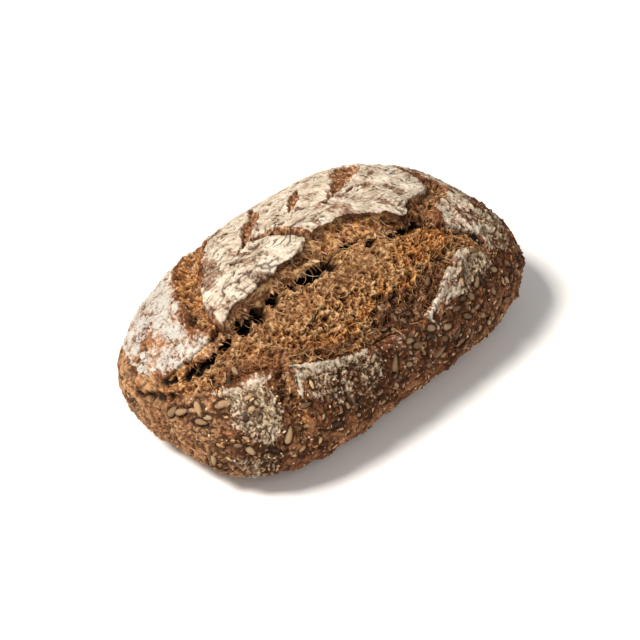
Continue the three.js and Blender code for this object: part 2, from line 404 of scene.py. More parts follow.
@dataclass(frozen=True)
class Cut:
    """A tear, slit or crack along a path of spots on the skin."""

    path: tuple[Spot, ...]
    half_width: float
    depth: float
    taper: Taper = Taper.LEAF
    torn: float = 1.0
    rim: float = 0.5
    rim_width: float = 1.3

    def closeness(self, points: Array, ragged: Array) -> tuple[Array, Array]:
        """How deep in the cut points are.

        Args:
            points: Places on the skin in mm.
            ragged: Noise of about -1 to 1 that makes the edges ragged.

        Returns:
            Closeness, 1 on the path and 0 at the edge or outside, and the distance
            outside the edge in mm.
        """
        knots, reached = SKIN.walk(self.path)
        best, share = np.full(len(points), FAR), np.zeros(len(points))
        for start, end, before, after in zip(knots, knots[1:], reached, reached[1:]):
            at, away = to_leg(points, start, end)
            share = np.where(away < best, (before + at * (after - before)) / reached[-1], share)
            best = np.minimum(best, away)
        if self.taper is Taper.LEAF:
            taper = np.maximum(np.sin(np.pi * share), 0.02) ** 0.8
        else:
            taper = np.maximum(share, 0.04) if self.taper is Taper.WEDGE else 1.0
        width = self.half_width * taper
        away = best + 0.28 * self.half_width * ragged
        return np.clip(1.0 - away / width, 0.0, 1.0), away - width


@dataclass(frozen=True)
class Patch:
    """Area of the skin inside an outline of spots, with a soft edge."""

    outline: tuple[Spot, ...]
    strength: float = 1.0
    fade: float = 3.0

    def cover(self, x: Array, degrees: Array, push: Array) -> Array:
        """How much the patch covers places.

        Args:
            x: Stations.
            degrees: Section angles.
            push: Distance in mm by which the edge is moved at each place.

        Returns:
            Numbers from 0 to the patch's strength.
        """
        spot = np.stack([x, degrees * MM_PER_DEGREE], 1)
        corners = np.array(self.outline) * (1.0, MM_PER_DEGREE)
        nearest, inside = np.full(len(spot), FAR), np.zeros(len(spot), bool)
        for start, end in zip(corners, np.roll(corners, -1, axis=0)):
            nearest = np.minimum(nearest, to_leg(spot, start, end)[1])
            if start[1] != end[1]:
                crossed = (start[1] > spot[:, 1]) != (end[1] > spot[:, 1])
                slant = (end[0] - start[0]) / (end[1] - start[1])
                inside ^= crossed & (spot[:, 0] < start[0] + slant * (spot[:, 1] - start[1]))
        away = np.where(inside, nearest, -nearest) + push
        return self.strength * smooth(-self.fade, self.fade, away)


def covered(patches: tuple[Patch, ...], x: Array, degrees: Array, push: Array) -> Array:
    """Strongest cover of several patches at each place."""
    return np.max([patch.cover(x, degrees, push) for patch in patches], axis=0)


# Tables of the loaf's own marks. Spots are pairs of station and section angle.
# Tears and cuts through the floured skin.
TEARS = (
    Cut(((-28, 30), (-49, 46), (-68, 58), (-77, 68), (-88, 86)), 8.0, 4.6, Taper.EVEN, rim=1.3,
        rim_width=4.0),
    Cut(((96, 96), (82, 101), (70, 105), (58, 112)), 8.0, 4.2, Taper.EVEN, rim=0.6, rim_width=3.0),
    Cut(((-84, 127), (-90, 146), (-90, 168)), 5.5, 4.0, Taper.EVEN),
)
FLAP_CUTS = (
    Cut(((11, 38), (-5, 56.5), (-14, 59), (-27, 67), (-38, 73)), 4.4, 3.4, rim=0.8, rim_width=1.8),
    Cut(((-36, 71), (-45, 74)), 0.9, 1.4),
    Cut(((-33, 71), (-25, 72.5), (-17, 74.5), (-15.5, 79)), 2.6, 3.4, rim=0.4, rim_width=2.0),
    Cut(((33, 56), (20.6, 63), (5.5, 70.7)), 3.3, 3.0, rim=0.8, rim_width=1.6),
    Cut(((20, 82), (43, 73), (72, 58)), 10.0, 3.8, Taper.WEDGE, rim=0.8, rim_width=1.8),
    Cut(((37, 81), (47.7, 78.7), (54.8, 81.5), (67, 86.5)), 2.3, 3.0, rim=1.2, rim_width=2.4),
    Cut(((76, 79), (87, 79.7), (89, 84)), 1.9, 2.4, rim=0.8, rim_width=2.0),
    Cut(((-53, 75.5), (-48.7, 80), (-44, 82)), 1.2, 2.0, torn=0.4),
    Cut(((-62, 84), (-56, 81), (-50, 84)), 0.7, 1.2, torn=0.2),
)
# Cracks in the crust: path, half width, depth and rim.
CRUST_CRACKS = tuple(Cut(path, *size, torn=0.0, rim=rim) for path, size, rim in (
    (((-57.5, 141), (-58, 146), (-57.5, 150), (-59.5, 155), (-59, 160), (-58.5, 167)), (1.0, 1.5),
     0.15),
    (((-57, 150), (-49.5, 149.5), (-45, 148)), (0.7, 1.1), 0.15),
    (((-59.5, 154.5), (-66, 155)), (0.7, 1.1), 0.15),
    (((-58, 150), (-64, 147.5), (-67, 149)), (0.7, 1.1), 0.15),
    (((-80.5, 137), (-83.5, 145)), (0.8, 1.1), 0.15),
    (((-84, 170.5), (-80, 175), (-73, 179.5), (-66, 176)), (1.0, 1.6), 0.3),
    (((-113, 172.5), (-108, 178), (-102.5, 177), (-94, 180.5)), (1.0, 1.5), 0.3),
    (((-89, 159.5), (-90.5, 168), (-92, 175)), (0.9, 1.5), 0.3),
    (((70, 139), (80, 147), (84, 156)), (0.8, 1.3), 0.3),
    (((86, 134), (97, 138), (103, 132)), (0.8, 1.3), 0.3),
))
# Where flour clings to the crust.
CRUST_FLOUR = (
    Patch(((-30, 12), (-38, 31), (-66, 47), (-81, 60), (-92, 74), (-99, 83), (-106, 86), (-108, 76),
        (-109, 64), (-112, 51), (-114, 38), (-116, 30), (-104, 5)), 0.9, 5.0),
    Patch(((-110, 37.5), (-117.5, 36), (-120.5, 48), (-121.5, 60), (-120, 72), (-116.5, 83),
        (-110.5, 91), (-103, 94), (-95, 95), (-95, 89), (-99, 82), (-104, 76), (-107, 64),
        (-109, 51)), 0.9, 3.0),
    Patch(((-117.5, 115), (-114.5, 112.5), (-109.5, 116.5), (-105, 121), (-99.5, 124), (-94, 126.5),
        (-90, 128), (-89, 131), (-93, 134.5), (-98.5, 132), (-104.5, 130.5), (-109, 129),
        (-113.5, 125.5)), 0.86, 2.6),
    Patch(((-114, 119.5), (-104, 126), (-94, 130), (-93.5, 142), (-94, 149), (-97, 154),
        (-100.5, 162), (-104.5, 172), (-112.5, 171), (-117, 163), (-119, 152), (-119, 140),
        (-117.5, 129)), 0.88, 3.0),
    Patch(((-121, 166), (-112.5, 169.5), (-105, 177.5), (-104, 194.5), (-108, 209.5), (-113, 222),
        (-120, 211.5), (-123, 188)), 0.62, 4.0),
    Patch(((-80, 131.5), (-74.5, 134), (-67, 138.5), (-58.5, 141.5), (-51.5, 144), (-43.5, 146),
        (-34, 148), (-34, 150.5), (-44, 149.5), (-53.5, 147), (-61.5, 145.5), (-70, 143),
        (-77, 140), (-81, 145), (-84, 149), (-88, 147), (-85.5, 139)), 0.92, 2.0),
    Patch(((-78, 138), (-61, 144), (-45, 147.5), (-35, 149.5), (-27, 153), (-28, 165), (-36, 171),
        (-43, 177), (-56, 175), (-66, 166), (-77.5, 157), (-83, 149)), 0.68, 4.0),
    Patch(((-19, 149), (-9, 152), (6, 156), (17, 156), (3, 161), (-13, 158), (-23, 156)), 0.66,
        3.0),
    Patch(((58, 127), (68, 129), (69, 136), (58, 143), (49, 148), (41, 152), (31, 153), (23, 157),
        (14, 158), (10, 153), (15, 146), (25, 143.5), (33.5, 141), (42.5, 139), (50.5, 135),
        (54, 130)), 0.86, 3.5),
    Patch(((66.5, 131.5), (78, 138.5), (77.5, 147), (70, 153.5), (59.5, 157), (49.5, 157),
        (38, 156), (26.5, 160), (18, 159), (31.5, 148.5), (47, 143.5), (58, 138.5)), 0.92, 4.0),
    Patch(((-20, 154), (-1, 156), (16, 156), (34, 154), (50, 154), (62, 160), (48, 172), (31, 176),
        (8, 178), (-17, 172), (-27, 161)), 0.52, 5.0),
    Patch(((69, 111), (80, 107), (97, 103.5), (108, 100), (108, 112), (98.5, 123), (90, 134),
        (80, 134), (72, 130), (65, 121)), 0.88, 2.5),
    Patch(((95, 30), (101, 92), (104, 104), (96, 120), (82, 133), (80, 141), (90, 150), (100, 154),
        (110, 145), (118, 124), (124, 90), (120, 40)), 0.8, 4.0),
    Patch(((-62, -18), (-20, -28), (60, -24), (108, -8), (112, 40), (20, 60), (-30, 45), (-70, 30)),
        0.85, 8.0),
)
# Where floured dough dried to granules.
GRAINY = (
    Patch(((-114, 118), (-104, 124), (-94, 128), (-93, 142), (-93, 150), (-97, 156), (-103, 174),
        (-113, 173), (-119, 162), (-121, 150), (-120, 138), (-117.5, 127))),
    Patch(((-78, 140), (-50, 148), (-26, 154), (-26, 168), (-38, 180), (-56, 178), (-68, 170),
        (-80, 157))),
    Patch(((-121, 166), (-112.5, 169.5), (-105, 177.5), (-104, 194.5), (-108, 209.5), (-113, 222),
        (-123, 190))),
    Patch(((66, 133), (76, 140), (90, 130), (104, 140), (90, 152), (64, 160), (30, 160), (47, 150),
        (60, 141))),
    Patch(((104, 96), (124, 90), (120, 122), (112, 146), (100, 156), (88, 150), (84, 134),
        (98, 122), (106, 110)), 0.8),
)
# Where the crust is torn to bare crumb without standing open.
CRUST_TORN = (
    Patch(((-126, 64), (-123, 76), (-118, 88), (-110, 92), (-103, 100), (-108, 111), (-118, 110),
        (-124, 98), (-127, 84)), 0.9, 1.5),
    Patch(((60, 128), (70, 126), (80, 131), (83, 137), (74, 138), (62, 134)), 0.9, 1.5),
)
# Where the crust is painted paler: painted light on the shoulder and the left end, which face the
# lamp, and along the lower edges; the flour there is painted greyer.
CRUST_PALE_AND_LIT = (
    Patch(((-66, 40), (-85, 62), (-95, 80), (-95, 94), (-104, 94), (-117, 84), (-122, 60),
        (-118, 30), (-100, 0), (-60, 10)), 0.45, 8.0),
    Patch(((-131, -100), (-104, -100), (-104, -10), (-108, 18), (-115, 31), (-119.5, 45),
        (-121, 80), (-112, 98), (-110, 110), (-115, 122), (-119, 140), (-121, 158), (-121, 185),
        (-118, 210), (-108, 232), (-100, 290), (-131, 290)), 0.74, 9.0),
    Patch(((-90, 197), (-59, 192), (-15, 200), (30, 205), (75, 186), (80, 192), (30, 216),
        (-60, 212)), 0.25, 3.0),
    Patch(((62, 168), (88, 156), (104, 152), (118, 130), (125, 90), (131, 90), (131, 240),
        (62, 225)), 0.3, 8.0),
)
# Where flour is rubbed off the flap.
FLAP_RUBBED = (
    Patch(((-50, 57), (-52, 66), (-60, 76), (-72, 78), (-72, 68), (-60, 58)), 0.42, 3.0),
    Patch(((-56, 74), (-50, 79), (-47, 85), (-44, 84), (-47, 77), (-52, 72)), 0.36, 2.0),
)
# Pale woolly crumb that the tear drew out of the crevice, and firm crumb under the front lip.
WOOLLY = (
    Patch(((-75, 108), (-54, 108), (-31, 109), (-7, 110), (21, 111), (35, 116), (20, 121),
        (-17, 120), (-48, 118), (-75, 114)), 1.0, 6.0),
    Patch(((-117, 92), (-103, 101), (-89, 104), (-75, 107), (-78, 114), (-97, 112), (-112, 105)),
        0.85, 5.0),
)
FIRM = (
    Patch(((-111, 111), (-98, 122), (-79, 132), (-50, 145), (-20, 152), (-20, 146), (-50, 138),
        (-75, 123), (-91, 115), (-103, 109)), 0.7, 4.0),
)
# Where the films span cells of several millimetres.
WEBBED = (
    Patch(((30, 112), (56.5, 118), (64.5, 124), (58, 134), (46, 138), (42, 143), (36, 140),
        (28, 132), (16, 126), (12, 120)), 0.6, 4.0),
    Patch(((-71, 117), (-60, 126), (-33, 131), (-8, 128), (10, 130), (16, 140), (-10, 142),
        (-40, 141), (-62, 137), (-76, 126)), 0.6, 4.0),
)
# Where threads and films toasted orange.
TOASTED = (
    Patch(((39, 113), (56.5, 118), (64.5, 124), (55.5, 132.5), (43.5, 135), (42, 142), (38, 136),
        (32, 129.5), (20.5, 128), (17, 122), (21, 115)), 0.9, 4.0),
    Patch(((6, 132), (14, 131), (21, 137), (27, 139.5), (15.5, 145), (2.5, 138.5)), 1.0, 2.0),
    Patch(((-89.5, 107), (-84.5, 117), (-82.5, 126.5), (-91, 123), (-94.5, 111.5)), 0.6, 3.0),
    Patch(((-71, 117.5), (-66.5, 127), (-48.5, 132.5), (-33, 133.5), (-18, 131.5), (-6, 128.5),
        (2, 129), (-7.5, 133.5), (-23, 136.5), (-38.5, 138.5), (-59.5, 135), (-73, 126)), 0.8, 3.0),
    Patch(((-52, 107), (-44, 109.5), (-34.5, 113.5), (-33, 120), (-43.5, 118.5), (-54, 114.5)), 0.5,
        3.0),
)
# Dark crumb with seeds in it, at the front lip's right end.
SEEDY = (
    Patch(((-24, 141), (-10, 133), (4, 133), (16, 137), (30, 134), (42, 130), (50, 133), (40, 141),
        (28, 147), (12, 154), (-6, 154), (-20, 150)), 1.0, 3.0),
)
# Open holes along the crevice: station, section angle, half length, half height and depth in mm.
HOLES = (
    (-126.5, 50, 3.1, 2.2, 3.3), (-126, 62, 3.6, 2.4, 3.3), (-124, 84, 4.4, 3.2, 3.9),
    (-116, 93, 3.8, 3.8, 5), (-111.5, 98, 3.8, 3, 5), (-105.5, 100, 4.2, 3.9, 5.5),
    (-95.5, 100.5, 4.9, 4.9, 6.6), (-81.5, 102.5, 5.7, 5.4, 8.8), (-70.5, 104, 4.9, 4.9, 8.8),
    (-57.5, 103.5, 4.2, 4.3, 7.7), (-43.5, 105.5, 3.1, 2, 5.5), (-35.5, 105, 4.9, 3.1, 6.6),
    (-26.5, 106, 8.8, 4.3, 8.8), (-15.5, 107.5, 5.9, 3.2, 6.6), (2, 104, 4.2, 2.4, 5.5),
    (15.5, 109.5, 3.9, 2, 5.5), (31, 112.5, 4.5, 2.6, 6.5), (41, 112.5, 6.2, 3.4, 8),
    (53, 113.5, 6.4, 4.4, 7.5), (56.5, 119, 3.8, 2, 4.4), (62, 125, 3.8, 2, 4.4),
    (69, 128, 3, 1.6, 3.3),
)
# Pits in the tears: station, section angle and radius in mm.
TEAR_PITS = (
    (-72.5, 61, 2.6), (-66, 49, 2.2), (-92, 79, 2.6), (-79, 64.5, 2.0), (-45.5, 46.5, 1.8),
    (-42.5, 36.5, 1.8), (-54.5, 57.5, 1.8), (-61.5, 53, 1.5), (-82.5, 79, 1.7), (-53, 42, 1.6),
    (-67.5, 66, 1.3), (-86, 72, 1.4), (-87.5, 132, 2.4), (-88.5, 138, 2.0), (-94, 144, 1.6),
    (-88, 149, 2.2), (-90, 160, 2.0), (-126.1, 26, 2.2), (-126.4, 36, 2.0), (-126.5, 50, 2.4),
    (-126.5, 58, 2.5), (-126.4, 68, 2.4), (-126.1, 77, 2.6), (-124.7, 88, 2.6), (-121.5, 92, 2.4),
    (93, 100, 1.8), (86, 102, 1.6), (78, 100, 1.8), (82, 106, 1.3), (72, 108, 1.7),
    (54, 109.5, 2.3), (55.5, 112, 2.6), (56.5, 115, 2.4), (58, 118.5, 1.8),
)
# Ridges of flour left by the basket.
FLOUR_LINES = (
    Cut(((-100, 14), (-108, 24.5), (-113, 32), (-117.5, 39.5), (-120.5, 50), (-121.5, 60),
        (-120.5, 67)), 1.7, 0.6),
    Cut(((-84, 150), (-80, 138), (-73, 139.5), (-66, 142), (-58.5, 145), (-51, 147), (-43, 149),
        (-35, 150.5)), 3.9, 0.5),
)
# Larger pores in the crumb: station, section angle and radius in mm.
PORES = (
    (18.5, 132.5, 2.6), (-54, 123.5, 2.2), (-74.5, 119, 1.6), (19, 123, 1.8), (-29.5, 132.5, 2.0),
    (-30, 121, 1.5), (-11, 131, 2.0), (-66, 127, 1.8), (-57, 137.5, 1.6), (38.5, 132, 2.6),
    (50.5, 131, 2.8), (-30, 139.5, 1.8), (7, 140.5, 2.2), (-12, 143, 2.6), (46, 135, 2.2),
    (3, 134, 1.8), (30, 126, 1.8),
)
# Sunflower kernels: station, section angle, heading in degrees and length in mm.
KERNELS = (
    (-127.1, 94, 25, 10.4), (-126, 106, 35, 9.5), (-122.7, 116, 118, 9.6), (-124.9, 128, 40, 8.5),
    (-115.5, 124, 22, 11), (-98.9, 166, -60, 10.6), (-83.9, 154, 12, 8), (-125.8, 204, 70, 8.5),
    (-21.4, 164, -58, 10.8), (-0.4, 164, 11, 10.6), (15.2, 178, -12, 11.6), (31.8, 174, -50, 10),
    (44.4, 185, -66, 8.8), (35.6, 161, 2, 10.6), (40.9, 168, 31, 8.4), (69.3, 139, 13, 9),
    (58.3, 154, -43, 9), (26.3, 139, -36, 7.6), (-0.3, 152, 13, 7), (-41.4, 141, 5, 8),
)
# Small kernels and groats between the larger ones: station, section angle, heading, length
# in mm, width as a share of it, and tint.
GROATS = (
    (-123.4, 130, 70, 4.8, 0.55, 0.6), (-124.5, 112, 20, 5.6, 0.5, 0.7),
    (-117, 170.5, 60, 6.5, 0.6, 0.9), (-113, 141, 27, 6.8, 0.42, 0.0),
    (-108, 138, 0, 3.7, 0.9, 0.95), (-107, 175, 40, 5.5, 0.45, 0.05), (-17, 176, 20, 5.0, 0.5, 0.0),
    (-70, 176, 10, 6.0, 0.5, 0.1), (-23, 178, 60, 4.8, 0.5, 0.8), (11, 160, 30, 6.2, 0.6, 0.7),
    (9, 163.5, 50, 8.3, 0.35, 0.0), (12.6, 168, 80, 5.4, 0.6, 0.6), (-6, 159, 15, 5.5, 0.6, 0.9),
    (62, 156.5, 80, 6.7, 0.45, 0.1), (83, 167, 60, 5.2, 0.45, 0.9), (24, 166, 20, 6.0, 0.65, 0.75),
    (50, 160, 60, 5.6, 0.7, 0.65), (52, 168, 5, 5.0, 0.6, 0.85), (20, 172, 50, 5.6, 0.6, 0.4),
    (2, 170, 70, 6.2, 0.55, 0.55), (-11, 171, 35, 5.2, 0.6, 0.7), (33, 181, 10, 6.0, 0.55, 0.5),
    (56, 177, 45, 6.4, 0.5, 0.7), (68, 166, 70, 5.4, 0.6, 0.6), (76, 155, 30, 5.0, 0.7, 0.8),
    (90, 158, 50, 6.2, 0.5, 0.5), (101, 168, 20, 5.4, 0.55, 0.75), (95, 178, 70, 5.6, 0.5, 0.6),
    (80, 182, 20, 6.6, 0.5, 0.4), (66, 190, 10, 5.8, 0.55, 0.7), (20, 186, 20, 6.2, 0.5, 0.65),
    (5, 182, 40, 5.6, 0.55, 0.5), (-34, 186, 15, 5.4, 0.5, 0.7), (-8, 137, 40, 4.2, 0.7, 0.5),
    (-3, 143, 10, 4.6, 0.6, 0.6), (-15, 141, 70, 4.0, 0.7, 0.4), (-7, 145, 100, 4.4, 0.6, 0.7),
    (4, 147, 30, 4.8, 0.6, 0.5), (9, 150, 60, 4.2, 0.6, 0.65), (-13, 137, 80, 3.8, 0.7, 0.8),
    (0, 138, 20, 4.0, 0.65, 0.55), (-2, 149, 70, 4.2, 0.6, 0.5), (-17, 146, 20, 4.0, 0.6, 0.75),
    (2, 134, 60, 3.4, 0.75, 0.9), (12, 146, 10, 4.6, 0.55, 0.45), (-11, 150, 45, 4.4, 0.6, 0.65),
    (20, 143, 70, 4.4, 0.6, 0.6), (-24, 144, 30, 4.2, 0.55, 0.5),
)


def hole_at(x: Array, degrees: Array) -> tuple[Array, Array]:
    """Open holes of the crevice.

    Args:
        x: Stations.
        degrees: Section angles.

    Returns:
        How far inside a hole each place is, 0 to 1, and the depth there in mm.
    """
    hole, depth = np.zeros_like(x, float), np.zeros_like(x, float)
    for at, angle, half, height, deep in HOLES:
        away = np.hypot((x - at) / half, (degrees - angle) * MM_PER_DEGREE / height)
        close = fade(0.75, 1.1, away)
        hole, depth = np.maximum(hole, close), np.maximum(depth, deep * close)
    return hole, depth


def pit_at(x: Array, degrees: Array, rise: Array, ragged: Array) -> Array:
    """How far inside a pit of the tears places are, 0 to 1.

    Args:
        x: Stations.
        degrees: Section angles.
        rise: How far the places stand off the skin, in mm.
        ragged: Noise of about -1 to 1 that makes the edges ragged.

    Returns:
        One number a place.
    """
    seen_x, seen_degrees = seen(x, degrees, rise * smooth(-124.0, -112.0, x))
    points = SKIN.point(SKIN.sweep_at(seen_x), seen_degrees)
    pit = np.zeros(len(points))
    for at, angle, radius in TEAR_PITS:
        away = np.linalg.norm(points - SKIN.spot((at, angle)), axis=1) / (1.3 * radius)
        pit = np.maximum(pit, fade(0.5, 1.0, away + 0.25 * ragged))
    return pit


def linear(code: str) -> tuple[float, float, float, float]:
    """Linear colour of an sRGB hex code.

    Args:
        code: Six hex digits, such as "a06a3c".

    Returns:
        Red, green, blue and an alpha of 1.
    """
    parts = [int(code[i : i + 2], 16) / 255.0 for i in (0, 2, 4)]
    red, green, blue = [c / 12.92 if c <= 0.04045 else ((c + 0.055) / 1.055) ** 2.4 for c in parts]
    return red, green, blue, 1.0


# Sockets of the Mix node, whose names repeat.
MIX_FACTOR, MIX_A, MIX_B, MIX_OUT = 0, 6, 7, 2
# Settings of the nodes that mix colours and numbers.
COLOURS = {"data_type": "RGBA"}
TIMES = {"operation": "MULTIPLY"}
TIMES_PLUS = {"operation": "MULTIPLY_ADD"}


def plug(node: Node, links: dict[object, object]) -> None:
    """Sets and links a node's inputs.

    Args:
        node: The node.
        links: Input names or numbers, each with a value, an sRGB hex code, a socket, or
            another node, which stands for its result.
    """
    for name, value in links.items():
        if isinstance(value, Node):
            value = value.outputs[MIX_OUT if value.bl_idname == "ShaderNodeMix" else 0]
        if isinstance(value, bpy.types.NodeSocket):
            node.id_data.links.new(value, node.inputs[name])
        else:
            node.inputs[name].default_value = linear(value) if isinstance(value, str) else value


def add_node(
    tree: NodeTree,
    kind: str,
    settings: dict[str, object] | None = None,
    links: dict[object, object] | None = None,
) -> Node:
    """Adds a node with its settings and links.

    Args:
        tree: Tree that gets the node.
        kind: Node type without its ShaderNode prefix.
        settings: Attributes of the node to set. "stops" lists places and sRGB hex codes
            of a colour ramp.
        links: What its inputs get, as for plug.

    Returns:
        The new node.
    """
    node = tree.nodes.new("ShaderNode" + kind)
    for name, value in (settings or {}).items():
        if name != "stops":
            setattr(node, name, value)
            continue
        stops = node.color_ramp.elements
        while len(stops) < len(value):
            stops.new(1.0)
        for stop, (place, code) in zip(stops, value):
            stop.position, stop.color = place, linear(code)
    plug(node, links or {})
    return node


def rows_of(bm: Mesh) -> Array:
    """Coordinates of a mesh's vertices, one row each."""
    return np.array([vert.co[:] for vert in bm.verts])


def move_to(bm: Mesh, rows: Array) -> None:
    """Moves the first vertices of a mesh to the given rows."""
    for vert, row in zip(bm.verts, rows.tolist()):
        vert.co = row


def linked(name: str, data: bpy.types.ID) -> Object:
    """Adds an object to the scene.

    Args:
        name: Its name.
        data: The mesh, camera or light that it shows.

    Returns:
        The object.
    """
    item = bpy.data.objects.new(name, data)
    bpy.context.scene.collection.objects.link(item)
    return item


def mesh_object(name: str, bm: Mesh, layers: dict[str, Array]) -> Object:
    """Turns a bmesh in mm, in the loaf's own frame, into an object in metres.

    Args:
        name: Name of the piece.
        bm: The mesh, which is freed.
        layers: Float attributes. Vertices past the end of a list get 0.

    Returns:
        The linked object.
    """
    mesh = bpy.data.meshes.new(name)
    bm.to_mesh(mesh)
    bm.free()
    mesh.transform(Matrix.Scale(MM, 4) @ Matrix.Translation(Vector(CENTRING)))
    for layer, values in layers.items():
        padded = np.zeros(len(mesh.vertices), np.float32)
        padded[: len(values)] = values
        mesh.attributes.new(layer, "FLOAT", "POINT").data.foreach_set("value", padded)
    mesh.shade_smooth()
    return linked(name, mesh)


def close_below(bm: Mesh, outward: Array, depth: float) -> None:
    """Closes an open sheet with walls and a floor.

    Args:
        bm: Sheet with one open border.
        outward: Directions that the sheet faces.
        depth: How far the floor's border lies below the sheet's.
    """
    border = [edge for edge in bm.edges if edge.is_boundary]
    grown = bmesh.ops.extrude_edge_only(bm, edges=border)
    fresh = [item for item in grown["geom"] if isinstance(item, bmesh.types.BMVert)]
    down = Vector(outward.mean(axis=0)).normalized() * -depth
    bmesh.ops.translate(bm, verts=fresh, vec=down)
    rim = [edge for edge in bm.edges if edge.is_boundary]
    bmesh.ops.holes_fill(bm, edges=rim, sides=0)
    bmesh.ops.recalc_face_normals(bm, faces=bm.faces)


def sheet(columns: int, rows: int) -> tuple[Mesh, Array, Array]:
    """Flat grid.

    Args:
        columns: Cells along.
        rows: Cells across.

    Returns:
        The mesh, and each vertex's share along and across, 0 to 1.
    """
    bm = bmesh.new()
    bmesh.ops.create_grid(bm, x_segments=columns, y_segments=rows, size=1.0)
    flat = (rows_of(bm) + 1.0) / 2.0
    return bm, flat[:, 0], flat[:, 1]


def bead(sides: int, rings: int) -> tuple[Mesh, Array]:
    """Small ball with its poles at its two ends along X.

    Args:
        sides: Faces around it.
        rings: Faces from pole to pole.

    Returns:
        The mesh, and the rows of its vertices.
    """
    bm = bmesh.new()
    bmesh.ops.create_uvsphere(bm, u_segments=sides, v_segments=rings, radius=1.0)
    bmesh.ops.rotate(bm, verts=bm.verts, matrix=Matrix.Rotation(math.pi / 2.0, 3, "Y"))
    return bm, rows_of(bm)


@dataclass(frozen=True)
class Seed:
    """One seed or bit of grain lying on the skin."""

    x: float
    degrees: float
    heading: float
    length: float
    width: float
    thick: float
    sink: float
    tint: float

    def nest(self, points: Array) -> tuple[Array, Array, Array]:
        """Shape of the crust around the seed: it lies in a hollow with a raised rim, and the gap
        between is painted dark as shade.

        Args:
            points: Places on the skin in mm.

        Returns:
            Which points it moves, their rise in mm and how deep in the gap they are, for the
            painted shade there.
        """
        place = Places.over(self.x, self.degrees)
        offset = points - place.base
        near = np.flatnonzero(np.abs(offset).max(axis=1) < self.length)
        ahead, side = place.turned(self.heading)
        away = np.hypot(offset[near] @ ahead / self.length, offset[near] @ side / self.width) * 2.0
        outside = (away - 1.0) * self.width / 2.0
        rise = 0.75 * bell(outside - 1.5, 0.8) - 0.3 * self.thick * (outside < 0.2)
        return near, rise, bell(outside - 0.3, 0.5)


@dataclass(frozen=True)
class CrumbRelief:
    """Open cells of torn rye crumb between ragged walls, with thin threads of film across."""

    coarse: float = 6.2
    middle: float = 3.5
    thread: float = 4.4
    wall_height: float = 1.9
    pit_depth: float = 2.2

    def lift(self, points: Array, seed: float) -> tuple[Array, Array, Array]:
        """Relief of torn crumb.

        Args:
            points: Places in mm.
            seed: Shifts the pattern.

        Returns:
            The lift in mm, how deep in a pore each point is, and how much on a thread.
        """
        moved = warp(points, 4.5, 2.4, seed)
        _, gap_a, chance_a = cells(moved, self.coarse, seed + 1.0)
        _, gap_b, chance_b = cells(moved, self.middle, seed + 2.0)
        torn = fractal(points, 2.6, 3, seed + 5.0)
        uneven = fractal(points, 9.0, 3, seed + 3.0)
        open_a = smooth(0.05, 0.5, gap_a) * (0.25 + 0.75 * (chance_a > 0.5))
        open_b = smooth(0.05, 0.5, gap_b) * (0.2 + 0.8 * (chance_b > 0.45))
        thread = np.abs(fractal(moved, self.thread, 2, seed + 6.0)) / 0.14
        thread = np.clip(1.0 - thread, 0.0, 1.0)
        film = np.maximum(bell(gap_a, 0.12), 0.75 * bell(gap_b, 0.17))
        film = np.maximum(film * smooth(-0.5, 0.15, torn), 0.9 * thread * smooth(-0.3, 0.2, -torn))
        lift = self.wall_height * film * (0.55 + 0.6 * chance_a) + 0.9 * uneven + 0.25 * torn
        lift -= self.pit_depth * (open_a + 0.5 * open_b) * (1.0 - 0.7 * film)
        pore = 0.8 * open_a + 0.6 * open_b - 0.9 * film - 0.25 * uneven
        return lift, np.clip(pore, 0.0, 1.0), film


CRUMB_RELIEF = CrumbRelief()


